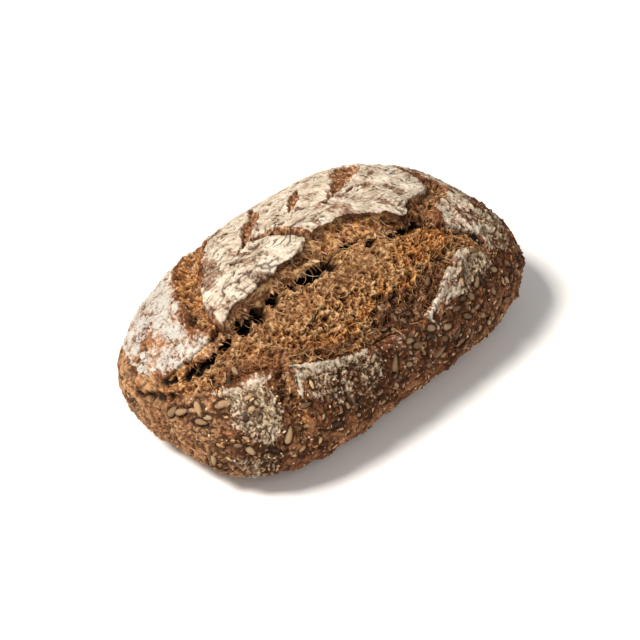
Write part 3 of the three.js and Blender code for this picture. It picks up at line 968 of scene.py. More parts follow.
@dataclass(frozen=True)
class SkinRelief:
    """Lumps, flakes, cobbles, cracks and grit of the baked skin."""

    lump_size: float = 27.0
    lump_height: float = 1.3
    crag_size: float = 8.0
    crag_height: float = 1.1
    cobble_size: float = 5.6
    pebble_size: float = 2.4
    cobble_depth: float = 0.75
    crack_size: float = 8.0
    crack_depth: float = 0.9
    flake_sizes: tuple[float, float] = (9.0, 4.6)
    flake_height: float = 0.55
    grit_size: float = 1.6
    grit_height: float = 0.3

    def rise(self, points: Array, rough: Array) -> tuple[Array, Array, Array]:
        """Relief of the skin.

        Args:
            points: Places in mm.
            rough: How craggy each place is, 0 to 1.

        Returns:
            The rise in mm, how deep in a dent each point is and how much it stands proud,
            both 0 to 1.
        """
        lump = fractal(points, self.lump_size, 2, 1.0)
        crag = fractal(points, self.crag_size, 4, 3.0)
        moved = warp(points, 4.0, 1.8, 8.0)
        patchy = smooth(-0.3, 0.3, fractal(points, 12.0, 2, 61.0))
        _, gap, chance = cells(moved, self.cobble_size, 2.0)
        near, fine_gap, fine_chance = cells(moved, self.pebble_size, 6.0)
        grit = fractal(points, self.grit_size, 2, 7.0)
        crack = fade(0.0, 0.07, np.abs(fractal(moved, self.crack_size, 2, 62.0)))
        crack = crack * smooth(-0.1, 0.2, fractal(points, 10.0, 2, 63.0))
        groove = fade(0.0, 0.2, gap) * patchy
        fine = fade(0.0, 0.3, fine_gap)
        pebble = fade(0.1, 0.5, near) * (fine_chance > 0.55)
        cobble = 0.5 * chance * patchy - groove - 0.45 * fine + 0.7 * pebble
        rise = self.lump_height * lump + self.crag_height * crag * (0.45 + 0.55 * rough)
        rise += self.cobble_depth * rough * cobble
        rise += self.grit_height * grit * (0.4 + 0.6 * rough)
        rise -= self.crack_depth * crack * (0.25 + 0.75 * rough)
        dent = (0.8 * groove + 0.6 * fine) * rough + 0.9 * crack * (0.3 + 0.7 * rough)
        for number, size in enumerate(self.flake_sizes):
            step = fractal(moved, size, 3, 81.0 + number)
            rise += self.flake_height * smooth(-0.05, 0.05, step) * (0.3 + 0.7 * rough)
            dent += 0.8 * bell(step + 0.06, 0.05) * (0.25 + 0.75 * rough)
        dent += np.clip(-0.8 * crag - 0.7 * grit, 0.0, 1.0) * (0.3 + 0.5 * rough)
        proud = np.clip(0.8 * pebble + 0.9 * grit + 0.5 * crag - 0.5 * dent, 0.0, 1.0)
        return rise, np.clip(dent, 0.0, 1.0), proud


SKIN_RELIEF = SkinRelief()


@dataclass
class Crust:
    """Whole outer body, sunk where the flap and the crumb lie in it."""

    rings: int = 420
    columns: int = 230
    hidden_sink: float = 3.0
    trench: float = 22.0
    under_floor: float = 3.0
    seeds: list[Seed] = field(default_factory=list)

    def density(self, x: Array, degrees: Array) -> Array:
        """How closely columns stand.

        Args:
            x: Stations.
            degrees: Section angles.

        Returns:
            Columns a millimetre, up to one factor for the whole body.
        """
        ear, front = SLASH.ear_at(x), SLASH.front_at(x)
        shown = 0.12 + 0.5 * smooth(-48.0, -35.0, degrees) * fade(225.0, 245.0, degrees)
        shown = shown + 0.5 * smooth(10.0, 25.0, degrees) * fade(215.0, 240.0, degrees)
        shown = shown + (0.7 - shown) * smooth(104.0, 122.0, np.abs(x))
        in_slash = SLASH.open_at(x) * smooth(2.0, 7.0, degrees - ear)
        in_slash = in_slash * smooth(0.0, 4.0, front - degrees)
        under_flap = smooth(5.0, 15.0, Flap.inside(x, degrees)) * smooth(0.0, 5.0, ear - degrees)
        return shown * (1.0 - 0.88 * np.maximum(in_slash, under_flap))

    def ring_sweep(self, share: Array) -> Array:
        """Sweep angles that space rings evenly along the ridge.

        Args:
            share: Shares of the way from tip to tip.

        Returns:
            One angle in radians a share.
        """
        fine = np.linspace(0.0, math.pi, 6001)
        steps = np.linalg.norm(np.diff(SKIN.point(fine, 90.0), axis=0), axis=1)
        length = np.concatenate([[0.0], np.cumsum(steps)])
        return np.interp(share * length[-1], length, fine)

    def section_angles(self, sweeps: Array) -> Array:
        """Section angles of the columns, close together where the loaf shows.

        Args:
            sweeps: Sweep angle of each ring.

        Returns:
            One row of angles in degrees a ring.
        """
        fine = np.linspace(-90.0, 270.0, 721)
        grid_sweep, grid_fine = np.meshgrid(sweeps, fine, indexing="ij")
        points = SKIN.point(grid_sweep, grid_fine)
        weight = self.density(points[..., 0], grid_fine)
        steps = np.linalg.norm(np.diff(points, axis=1), axis=2) + 1e-4
        steps = steps * (weight[:, 1:] + weight[:, :-1]) / 2.0
        total = np.concatenate([np.zeros((len(sweeps), 1)), np.cumsum(steps, axis=1)], axis=1)
        shares = np.arange(self.columns) / self.columns
        return np.array([np.interp(shares * row[-1], row, fine) for row in total])

    def laid_over(self, ball: Array) -> Places:
        """Lays a ball of the same rings and columns over the skin.

        Args:
            ball: Rows of the ball's vertices.

        Returns:
            A place on the skin for each vertex.
        """
        ring = np.arccos(np.clip(ball[:, 2], -1.0, 1.0)) / math.pi * self.rings
        turn = np.arctan2(ball[:, 1], ball[:, 0]) / (2.0 * math.pi)
        ring, column = np.rint(ring).astype(int), np.rint(turn * self.columns).astype(int)
        sweeps = self.ring_sweep(np.arange(self.rings + 1) / self.rings)
        return Places.at(sweeps[ring], self.section_angles(sweeps)[ring, column % self.columns])

    def settle(self, base: Array, grainy: Array, rise: Array, dent: Array) -> Array:
        """Nests the seeds and breaks the floured dough into granules.

        Args:
            base: Places on the skin in mm.
            grainy: How much of each place is granules.
            rise: Rise in mm, which is changed.
            dent: How deep in a dent each place is, which is changed.

        Returns:
            How cracked each place is, with painted shade in the seeds' gaps and between the
            granules.
        """
        crack = np.zeros(len(base))
        for seed in self.seeds:
            near, sink, gap = seed.nest(base)
            rise[near] += sink
            dent[near] = np.maximum(dent[near], gap)
            crack[near] = np.maximum(crack[near], 0.7 * gap)
        clots = np.flatnonzero(grainy > 0.02)
        _, gap, chance = cells(warp(base[clots], 2.4, 1.6, 64.0), 2.7, 65.0)
        hollow = fade(0.03, 0.27, gap) * grainy[clots]
        rise[clots] += (0.5 * chance - 0.8 * hollow) * grainy[clots]
        dent[clots] = np.maximum(dent[clots], 0.9 * hollow)
        crack[clots] = np.maximum(crack[clots], 0.85 * hollow)
        return crack

    def build(self) -> Object:
        """Builds the closed body and its finish layers.

        Returns:
            The piece.
        """
        bm = bmesh.new()
        bmesh.ops.create_uvsphere(bm, u_segments=self.columns, v_segments=self.rings, radius=1.0)
        ball = rows_of(bm)
        place = self.laid_over(ball)
        base, x, degrees = place.base, place.x, place.degrees
        ragged, broad = fractal(base, 5.0, 3, 2.0), fractal(base, 14.0, 2, 9.0)
        flour = covered(CRUST_FLOUR, x, degrees, 3.5 * broad + 1.5 * ragged)
        grainy = covered(GRAINY, x, degrees, 2.0 * ragged)
        flour += 0.14 * grainy * (flour > 0.3)
        rough = np.clip(1.0 - 0.6 * flour, 0.2, 1.0)
        rough *= np.maximum(smooth(-30.0, 30.0, degrees), 0.85 * fade(-115.0, -90.0, x))
        rough *= 1.0 - 0.5 * smooth(165.0, 195.0, degrees) * smooth(-118.0, -100.0, x)
        rise, dent, proud = SKIN_RELIEF.rise(base, np.maximum(rough, 0.3))
        flour += 0.3 * fractal(base, 9.0, 3, 51.0) * (flour > 0.05) + 0.34 * proud * rough
        for line in FLOUR_LINES:
            on_line = smooth(0.0, 0.35, line.closeness(base, ragged)[0])
            flour, rise = np.maximum(flour, 1.05 * on_line), rise + line.depth * on_line
        crack = self.settle(base, grainy, rise, dent)
        torn = covered(CRUST_TORN, x, degrees, 1.5 * ragged)
        for cut in TEARS + CRUST_CRACKS:
            close, outside = cut.closeness(base, ragged)
            rise -= (cut.depth + self.under_floor * (cut in TEARS)) * smooth(0.0, 0.6, close)
            rise += cut.rim * bell(outside, cut.rim_width) * (outside > 0)
            torn = np.maximum(torn, cut.torn * smooth(0.0, 0.2, close))
            crack = np.maximum(crack, (1.0 - cut.torn) * smooth(0.0, 0.5, close))
        bare = np.flatnonzero(torn > 0.01)
        lift, pore, _ = CRUMB_RELIEF.lift(base[bare], 20.0)
        rise[bare] += torn[bare] * lift
        dent[bare] = dent[bare] * (1.0 - torn[bare]) + torn[bare] * pore
        pit = pit_at(x, degrees, rise, ragged)
        rise -= 3.2 * pit
        past_lip = degrees - SLASH.front_at(x)
        under, behind = SLASH.hollow_at(x, degrees)
        rise = rise * (1.0 - under) - self.trench * under
        rise -= self.hidden_sink * smooth(3.0, 8.0, Flap.inside(x, degrees)) * (1.0 - under)
        rise += SLASH.lip_rise * SLASH.open_at(x) * (past_lip > 0) * bell(past_lip, 6.0)
        rise[np.hypot(ball[:, 0], ball[:, 1]) < 1e-6] = 0.0
        rows = base + place.outward * rise[:, None]
        rows[:, 2] = np.maximum(rows[:, 2], 0.0)
        move_to(bm, rows)
        bmesh.ops.recalc_face_normals(bm, faces=bm.faces)
        # Painted shade: the deep layer paints the tears' pits, the slash's hollow and the crevice
        # behind the ear near black.
        deep = [0.9 * pit, smooth(0.1, 0.6, under), smooth(0.005, 0.08, behind)]
        pale = covered(CRUST_PALE_AND_LIT, x, degrees, 3.0 * broad + 1.5 * ragged)
        return mesh_object("crust", bm, {
            "torn": torn, "crack": crack, "flour": flour, "dent": dent, "pale": pale,
            "deep": np.max(deep, axis=0), "grainy": grainy})


@dataclass
class Flap:
    """Floured lid of crust behind the slash, from the left tear to the right one."""

    cells_along: int = 430
    cells_across: int = 220
    lip_rows: float = 0.1
    cut_height: float = 4.6
    step_height: float = 3.4
    crown: float = 92.0
    crown_share: float = 0.6

    LIP_FROM = -88.0
    LIP_TO = 48.0
    LIP_LIMIT = 108.5
    BACK = 20.0
    LEFT = (
        (-88, 92.5), (-86, 84), (-82, 78), (-73, 70), (-62, 62), (-44, 50), (-28, 38), (-18, 20))
    RIGHT = (
        (48, 107.5), (56, 104), (64, 101.5), (74, 100), (84, 98.5), (92, 91), (98, 75), (100, 50),
        (98, 20))
    # Section angle and station of the edge where the flap's right part stands over its left.
    STEP = (
        (72, -29), (73, -26), (74.5, -18), (78.5, -17), (82, -14.5), (85.5, -12), (88.5, -10.5),
        (93, -8.5))
    # Place at the step that is painted near black, a painted shade where the crust seems to gape,
    # as station and section angle.
    GAPE = (-18.0, 74.6)
    # Fine cracks: size of their pattern in mm, width as a share of it, depth in mm and seed.
    LINES = ((9.0, 0.07, 1.0, 41.0), (5.5, 0.08, 0.8, 43.0), (3.2, 0.1, 0.5, 45.0))

    @classmethod
    def inside(cls, x: Array, degrees: Array) -> Array:
        """Distance inside the flap's edges.

        Args:
            x: Stations.
            degrees: Section angles.

        Returns:
            Distance in mm by which the places lie inside its left, right and back edges.
        """
        left, right = (track([s[::-1] for s in e[::-1]], degrees) for e in (cls.LEFT, cls.RIGHT))
        back = (degrees - cls.BACK) * MM_PER_DEGREE
        lip = np.where(degrees < cls.LIP_LIMIT, 99.0, -99.0)
        return np.min([x - left, right - x, back, lip], axis=0)

    def edge(self, spots: tuple[Spot, ...], share: Array) -> Array:
        """Spots at shares of the way down an edge, from its lip end to its back end."""
        reached = SKIN.walk(spots)[1]
        return np.stack([np.interp(share, reached / reached[-1], part) for part in zip(*spots)], -1)

    def spots(self, s: Array, t: Array) -> Array:
        """Blends the four edges.

        Args:
            s: Shares of the way from left to right.
            t: Shares of the way from the back to the lip.

        Returns:
            A row of station and section angle for each pair of shares.
        """
        lip_x = self.LIP_FROM + (self.LIP_TO - self.LIP_FROM) * s
        lip = np.stack([lip_x, SLASH.ear_at(lip_x)], -1)
        left, right = self.edge(self.LEFT, 1.0 - t), self.edge(self.RIGHT, 1.0 - t)
        s, t = s[:, None], t[:, None]
        low_left, low_right = np.array(self.LEFT[-1]), np.array(self.RIGHT[-1])
        back = low_left + (low_right - low_left) * s
        corners = (1 - s) * (1 - t) * low_left + s * (1 - t) * low_right
        corners = corners + (1 - s) * t * np.array(self.LEFT[0]) + s * t * np.array(self.RIGHT[0])
        return (1 - t) * back + t * lip + (1 - s) * left + s * right - corners

    def step(self, place: Places, ragged: Array) -> tuple[Array, Array, Array, Array]:
        """Torn step where the flap's right part stands over its left.

        Args:
            place: Places on the skin.
            ragged: Noise of about -1 to 1 that makes the edge ragged.

        Returns:
            The rise in mm, how torn and how cracked each place is, with painted shadow along the
            step's foot in the crack, and how much painted shade lies in the gape.
        """
        fray = fractal(place.base, 2.4, 3, 55.0)
        ahead = place.x - track(self.STEP, place.degrees) + 0.8 * ragged + 0.9 * fray
        here = smooth(72.5, 75.0, place.degrees)
        foot = here * bell(ahead + 1.3, 1.3)
        above = smooth(-0.6, 2.2, ahead) * np.exp(-np.maximum(ahead, 0.0) / 15.0)
        below = 1.2 * np.exp(-np.abs(ahead) / 7.0) * (ahead < 0.0)
        rise = here * (self.step_height * above - below) - 1.6 * foot
        torn = here * smooth(-2.0, -0.8, ahead) * fade(1.6, 2.4, ahead)
        wall = here * smooth(-2.4, -1.2, ahead) * fade(1.4, 2.2, ahead) * smooth(0.1, 0.35, fray)
        # Painted shadow: the step's foot under the overhang is darkened through the crack mask, and
        # the gape is painted near black.
        crack = np.maximum(0.9 * foot * smooth(-0.5, 0.2, ragged), wall)
        gape = np.linalg.norm(place.base - SKIN.spot(self.GAPE), axis=1) + 0.9 * ragged
        deep = 0.95 * fade(2.0, 3.4, gape) * smooth(-2.6, -1.6, ahead) * fade(1.0, 2.0, ahead)
        return rise, torn, crack, deep

    def build(self) -> Object:
        """Builds the slab, closed underneath, and its finish layers.

        Returns:
            The piece.
        """
        bm, s, t = sheet(self.cells_along, self.cells_across)
        x, degrees = self.spots(s, np.clip(t / (1.0 - self.lip_rows), 0.0, 1.0)).T
        place = Places.over(x, degrees)
        base = place.base
        before = (SLASH.ear_at(x) - degrees) * MM_PER_DEGREE
        ragged, broad = fractal(base, 5.0, 3, 2.0), fractal(base, 14.0, 2, 9.0)
        relief, dent, proud = SKIN_RELIEF.rise(base, np.full(len(base), 0.1))
        rise = 1.0 + 0.7 * relief
        rise += SLASH.ear_rise * fade(0.0, SLASH.ear_spread, before) ** 1.5
        flour = 1.0 - covered(FLAP_RUBBED, x, degrees, 3.0 * broad + 1.5 * ragged)
        flour -= 0.45 * smooth(0.0, 0.6, fractal(base, 9.0, 4, 51.0)) - 0.1 * proud
        lift, torn, crack, deep = self.step(place, ragged)
        rise += lift
        for cut in FLAP_CUTS:
            close, outside = cut.closeness(base, ragged)
            rise -= cut.depth * smooth(0.0, 0.5, close)
            rise += cut.rim * bell(outside, cut.rim_width) * (outside > 0)
            torn = np.maximum(torn, cut.torn * smooth(0.0, 0.25, close))
            crack = np.maximum(crack, (1.0 - cut.torn) * smooth(0.0, 0.5, close))
        grain = np.stack([(x + 0.25 * before) / 4.2, before, np.zeros_like(x)], 1)
        for size, width, depth, seed in self.LINES:
            line = np.abs(fractal(grain + 0.5 * ragged[:, None], size, 2, seed))
            here = smooth(-0.15, 0.1, fractal(base, 13.0, 2, seed + 1.0))
            groove = fade(0.0, width, line) * here
            rise -= depth * groove
            crack = np.maximum(crack, 0.9 * groove)
        rise += 0.9 * fractal(grain, 5.0, 3, 47.0)
        bare = np.flatnonzero(torn > 0.01)
        lift, pore, _ = CRUMB_RELIEF.lift(base[bare], 24.0)
        rise[bare] += 0.7 * torn[bare] * lift
        dent[bare] = dent[bare] * (1.0 - torn[bare]) + torn[bare] * pore
        face = np.clip((t - 1.0 + self.lip_rows) / self.lip_rows, 0.0, 1.0)
        height = (0.55 + 0.45 * smooth(20.0, -40.0, x)) * (1.0 + 0.25 * ragged)
        rise -= self.cut_height * height * smooth(0.0, 0.8, face) + 0.6 * smooth(0.8, 1.0, face)
        wavy = 1.6 * fractal(base, 13.0, 3, 52.0) + 0.9 * ragged
        shift = fade(0.0, 4.0, before) * (SLASH.ear_lip + wavy * (1.0 - 0.5 * face))
        shift += 0.7 * np.sin(np.pi * np.clip(face / 0.6, 0.0, 1.0)) - 4.5 * smooth(0.75, 1.0, face)
        layered = fractal(np.stack([x / 1.8, before, 3.2 * face], 1), 2.6, 3, 53.0)
        shift += (1.6 + 0.9 * smooth(10.0, 30.0, x)) * layered * np.sin(np.pi * face)
        border = np.minimum(s, 1.0 - s) * self.cells_along + 3.0 * ragged
        rise -= 4.2 * fade(0.0, 6.0, border) ** 2 + 5.0 * fade(0.0, 0.06, t)
        rows = base + place.outward * rise[:, None] + place.across * shift[:, None]
        rows[:, 2] -= (1.0 - self.crown_share) * np.maximum(rows[:, 2] - self.crown, 0.0)
        move_to(bm, rows)
        close_below(bm, place.outward, 4.0)
        edge = np.maximum(smooth(0.22, 0.5, face), fade(0.3, 2.6, border))
        # Painted shade in the hollows between the lip face's layers, through the dent layer.
        dent = np.maximum(dent, np.clip(-1.7 * layered, 0.0, 0.9) * np.sin(np.pi * face))
        return mesh_object("flap", bm, {
            "torn": torn, "crack": crack, "flour": flour * (1.0 - edge), "dent": dent,
            "edge": edge, "deep": deep})


@dataclass
class Perches:
    """Places on a built surface where small pieces can sit.

    Each row holds a point, the skin's along, across and outward there, and a value.
    """

    rows: Array

    @classmethod
    def on(cls, points: Array, place: Places, value: Array, chosen: Array) -> "Perches":
        """Makes perches of the chosen points."""
        parts = [points, place.along, place.across, place.outward, value]
        return cls(np.column_stack(parts)[chosen])

    def pick(self, draw: random.Random) -> tuple[Array, Array, Array, Array, float]:
        """A random place with its directions and value."""
        row = self.rows[draw.randrange(len(self.rows))]
        return *row[:12].reshape(4, 3), float(row[12])


@dataclass
class Crumb:
    """Torn inside that shows in the slash, from under the ear to the front lip."""

    cells_along: int = 440
    cells_across: int = 218
    start: float = -124.0
    end: float = 84.0
    face_rows: float = 0.22
    floor_rows: float = 0.03
    faces: Perches | None = None
    crests: Perches | None = None

    def under_flap(self, x: Array) -> Array:
        """How much of the flap hangs over the crumb at stations x, 0 to 1."""
        return smooth(-90.0, -83.0, x) * fade(40.0, 48.0, x)

    def profile(self, x: Array, t: Array) -> tuple[Array, Array]:
        """Smooth course from the ear down the wall, over the crevice's floor and up the slope.

        Args:
            x: Stations.
            t: Shares of the way from the ear to the front lip.

        Returns:
            Section angles, and the rise over the skin in mm.
        """
        ear, front, open_at = SLASH.ear_at(x), SLASH.front_at(x), SLASH.open_at(x)
        scale = Places.over(x, ear).degrees_per_mm()
        crevice = ear + track(SLASH.GAP, x) * scale
        slope_from = self.face_rows + self.floor_rows
        face = np.clip(t / self.face_rows, 0.0, 1.0)
        slope = np.clip((t - slope_from) / (1.0 - slope_from), 0.0, 1.0)
        degrees = ear - 1.5 + (crevice - ear + 1.5) * face + (front + 2.0 - crevice) * slope
        beyond = np.maximum(degrees - crevice, 0.0) / scale
        down = SLASH.depth_at(x)
        top = -1.4 + self.under_flap(x) * (SLASH.ear_rise - 1.6)
        top -= 2.2 * smooth(-100.0, -95.0, x) * fade(-90.0, -84.0, x)
        hill = np.sin(np.pi * np.clip(beyond * scale / (front - crevice), 0.0, 1.0))
        hill = SLASH.crumb_bulge * hill - SLASH.crumb_sink
        hill -= (down - SLASH.crumb_sink) * np.exp(-((beyond / SLASH.fall) ** 1.5))
        under_ear = top - (down + top) * face ** track(SLASH.BULGE, x)
        rise = np.select([t > slope_from, t > self.face_rows], [hill, -down], under_ear)
        rise -= 3.0 * smooth(-1.0, 1.5, (degrees - front) / scale)
        return degrees, rise * open_at - 3.0 * (1.0 - open_at)

    def opened(
        self, base: Array, rows: Array, spots: tuple[Array, Array], webbed: Array, wander: Array
    ) -> tuple[Array, Array, Array]:
        """Open cells, webs of film and pores of the crumb.

        Args:
            base: Places on the skin in mm.
            rows: Places on the smooth crumb in mm.
            spots: Stations and section angles over which the places show.
            webbed: How much film spans the cells at each place.
            wander: Noise of about -1 to 1 that makes the pores ragged.

        Returns:
            The lift in mm, how deep in a pore each place is, which sets the painted shade there,
            and how much on a thread.
        """
        lift, pore, crest = CRUMB_RELIEF.lift(rows, 1.0)
        _, gap, chance = cells(warp(base, 6.0, 3.5, 33.0), 8.0, 34.0)
        web_wall = bell(gap, 0.08) * webbed * (chance > 0.25)
        web_pit = smooth(0.06, 0.4, gap) * webbed * (chance > 0.4)
        lift += 1.5 * web_wall - 3.0 * web_pit * (1.0 - 0.5 * crest)
        crest = np.maximum(crest, 0.9 * web_wall)
        pore = np.maximum(pore, 0.95 * web_pit * (1.0 - crest))
        near, _, chance = cells(base, 3.8, 35.0)
        dot = fade(0.1, 0.26, near) * (chance > 0.45)
        lift -= 1.5 * dot
        pore = np.maximum(pore, dot)
        for at, angle, radius in PORES:
            away = np.hypot(spots[0] - at, (spots[1] - angle) * MM_PER_DEGREE) / radius
            close = fade(0.5, 1.0, away + 0.2 * wander)
            lift -= 2.6 * close
            pore = np.maximum(pore, close)
        return lift, pore, crest

    def build(self) -> Object:
        """Builds the torn surface, closed underneath, and its finish layers.

        Returns:
            The piece.
        """
        bm, s, t = sheet(self.cells_along, self.cells_across)
        x = self.start + (self.end - self.start) * s
        front, open_at = SLASH.front_at(x), SLASH.open_at(x)
        face = np.minimum(t / self.face_rows, 1.0)
        degrees, rise = self.profile(x, t)
        place = Places.over(x, degrees)
        base, outward = place.base, place.outward
        seen_x, seen_degrees = seen(x, degrees, rise)
        rows = base + outward * rise[:, None]
        wander = fractal(rows, 3.6, 2, 71.0)
        hole, sunk = hole_at(seen_x + 1.2 * wander, seen_degrees - 1.2 * wander)
        wall = fade(self.face_rows - 0.03, self.face_rows + 0.02, t) * open_at
        drift = fractal(base, 7.0, 3, 12.0)
        wool, firm, toast, webbed = (
            covered(area, seen_x, seen_degrees, push * drift)
            for area, push in ((WOOLLY, 5.0), (FIRM, 4.0), (TOASTED, 4.0), (WEBBED, 3.0)))
        wool = wool * (1.0 - wall)
        toast = np.clip(toast + 0.5 * drift + 0.15, 0.0, 1.0)
        craggy = 1.0 - 0.4 * np.maximum(wool, firm)
        webbed = np.clip(webbed + 0.4, 0.0, 1.0) * (1.0 - wool) * craggy
        lift, pore, crest = self.opened(base, rows, (seen_x, seen_degrees), webbed, wander)
        inner = 1.0 - wall * (1.0 - 0.7 * smooth(-5.0, 20.0, x))
        across = degrees * MM_PER_DEGREE
        fibre = fractal(np.stack([x, across / 5.0, np.zeros_like(x)], 1), 1.6, 2, 14.0)
        push = lift * (0.2 + 0.8 * craggy) * inner
        push += 0.9 * fractal(base, 9.0, 3, 7.0) + 0.35 * fibre * wool
        ledge = warp(np.stack([x / 2.2, across / 2.0, rise], 1), 6.0, 2.0, 17.0)
        flake = 2.2 * fractal(ledge, 5.0, 4, 15.0) + 2.6 * (ridges(ledge, 5.6, 3, 16.0) - 0.4)
        flake *= 1.0 - 0.35 * smooth(0.0, 25.0, x)
        push = (push * open_at + flake * wall) * (1.0 - hole)
        facing = outward * (1.0 - 0.5 * wall[:, None]) + 0.7 * place.across * wall[:, None]
        lean = 0.25 + 0.65 * wall * self.under_flap(x)
        back = outward * 0.85 + place.across * lean[:, None]
        rows = rows + facing * push[:, None] - back * sunk[:, None]
        move_to(bm, rows)
        close_below(bm, outward, 12.0)
        held = (open_at > 0.6) & (hole < 0.2)
        self.faces = Perches.on(rows, place, face, held & (wall > 0.9) & (face > 0.06))
        held &= (wall < 0.1) & (crest > 0.35) & (degrees < front - 1.0)
        self.crests = Perches.on(rows, place, craggy, held)
        # Painted shade: the crumb is painted darker the deeper it lies in the crevice, and its
        # holes near black, through the deep layer.
        shade = (0.2 + 0.35 * smooth(10.0, 35.0, x)) * smooth(4.0, 10.0, -rise) * open_at
        # Painted light: the torn face under the ear is painted lighter on its flakes, with its
        # pores fainter, against the ear's shade.
        pore = pore * (0.55 + 0.45 * craggy) * inner - 0.35 * flake * wall
        strand = crest * craggy * inner + (0.3 + 0.5 * flake) * wall
        toasted_wall = 0.65 * wall * smooth(-25.0, 0.0, x)
        seedy = covered(SEEDY, seen_x, seen_degrees, 2.5 * fractal(base, 6.0, 2, 18.0))
        return mesh_object("crumb", bm, {
            "pore": np.clip(pore, 0.0, 1.0), "strand": np.clip(strand, 0.0, 1.0), "wool": wool,
            "firm": firm, "toast": np.maximum(toast, toasted_wall),
            "seedy": seedy, "deep": np.maximum(hole, shade)})


@dataclass
class TearFloor:
    """Torn crumb on the floor of one tear, finer than the crust's mesh."""

    name: str
    cut: Cut
    seed: float
    toasted: float
    shaded: float
    cell: float = 0.45
    overlap: float = 1.1
    crests: Perches | None = None

    def strip(self, s: Array, t: Array) -> Places:
        """Places on a strip along the cut.

        Args:
            s: Shares of the way along the cut, from past one end to past the other.
            t: Shares of the way across it.

        Returns:
            The places.
        """
        reached = SKIN.walk(self.cut.path)[1]
        length, past = reached[-1], self.cut.half_width * self.overlap
        fine = np.linspace(-past, length + past, 81)
        before, after = np.minimum(fine, 0.0), np.maximum(fine - length, 0.0)
        middle = []
        for knots in zip(*self.cut.path):
            first = (knots[1] - knots[0]) / reached[1]
            last = (knots[-1] - knots[-2]) / (length - reached[-2])
            middle.append(np.interp(fine, reached, knots) + before * first + after * last)
        course = Places.over(*middle)
        side = unit(np.cross(course.outward, np.gradient(course.base, axis=0)))
        to_x = (side * course.along).sum(1) * course.along[:, 0]
        to_degrees = (side * course.across).sum(1) * course.degrees_per_mm()
        along, off = s * (length + 2.0 * past) - past, (2.0 * t - 1.0) * past
        x, degrees, to_x, to_degrees = (
            np.interp(along, fine, values) for values in (*middle, to_x, to_degrees))
        return Places.over(np.clip(x + off * to_x, -127.0, 127.0), degrees + off * to_degrees)

    def build(self) -> Object:
        """Builds the torn floor, closed underneath, and its finish layers.

        Returns:
            The piece.
        """
        width = 2.0 * self.cut.half_width * self.overlap
        length = SKIN.walk(self.cut.path)[1][-1] + width
        bm, s, t = sheet(round(length / self.cell), round(width / self.cell))
        place = self.strip(s, t)
        base, x, degrees = place.base, place.x, place.degrees
        ragged = fractal(base, 5.0, 3, 2.0)
        close, outside = self.cut.closeness(base, ragged)
        rise = SKIN_RELIEF.rise(base, np.full(len(base), 0.3))[0]
        rise -= self.cut.depth * smooth(0.05, 0.6, close)
        lift, pore, crest = CRUMB_RELIEF.lift(base, self.seed)
        hollow = SLASH.hollow_at(x, degrees)[0]
        rise += 1.1 * lift * smooth(0.0, 0.3, close) - 5.0 * smooth(-0.5, 1.2, outside)
        rise -= 14.0 * hollow
        # Painted shade: the pits and the slash's hollow are painted near black through the deep
        # layer.
        deep = pit_at(x, degrees, rise, ragged)
        rise -= 5.0 * deep
        rows = base + place.outward * rise[:, None]
        move_to(bm, rows)
        close_below(bm, place.outward, 3.0)
        held = (close > 0.15) & (crest > 0.35) & (deep < 0.1) & (hollow < 0.05)
        self.crests = Perches.on(rows, place, crest, held)
        drift = fractal(base, 7.0, 3, 12.0)
        # Painted shade: shaded darkens the whole floor with the dark seed-crumb colour.
        return mesh_object(self.name, bm, {
            "pore": pore, "strand": crest, "toast": np.clip(self.toasted + 0.9 * drift, 0.0, 1.0),
            "firm": np.clip(0.5 - self.toasted - 1.2 * drift, 0.0, 0.85),
            "seedy": np.full(len(base), self.shaded),
            "deep": np.maximum(0.9 * deep, smooth(0.0, 0.2, hollow))})


@dataclass(frozen=True)
class Finish:
    """Dry bread, which barely shines: what every finish of the loaf starts and ends with."""

    name: str

    SHEEN = 0.12

    def start(
        self, layers: tuple[str, ...], noises: dict[str, Triple]
    ) -> tuple[Material, dict[str, object]]:
        """Starts the material with what it reads.

        Args:
            layers: Names of the mesh's layers.
            noises: Size in mm, detail and roughness of each noise.

        Returns:
            The material, and a socket or node for each name.
        """
        material = bpy.data.materials.new(self.name)
        material.use_nodes = True
        tree = material.node_tree
        place = add_node(tree, "TexCoord").outputs["Object"]
        made = {}
        for name in layers:
            made[name] = add_node(tree, "Attribute", {"attribute_name": name}).outputs["Fac"]
        for name, (size, detail, roughness) in noises.items():
            made[name] = add_node(tree, "TexNoise", {}, {
                "Vector": place, "Scale": 1 / (size * MM), "Detail": detail,
                "Roughness": roughness})
        return material, made

    def end(self, material: Material, links: dict[str, object]) -> Material:
        """Gives the material's shader its inputs.

        Args:
            material: The started material.
            links: What the inputs get, as for plug.

        Returns:
            The same material.
        """
        shader = material.node_tree.nodes["Principled BSDF"]
        plug(shader, links | {"Specular IOR Level": self.SHEEN})
        return material


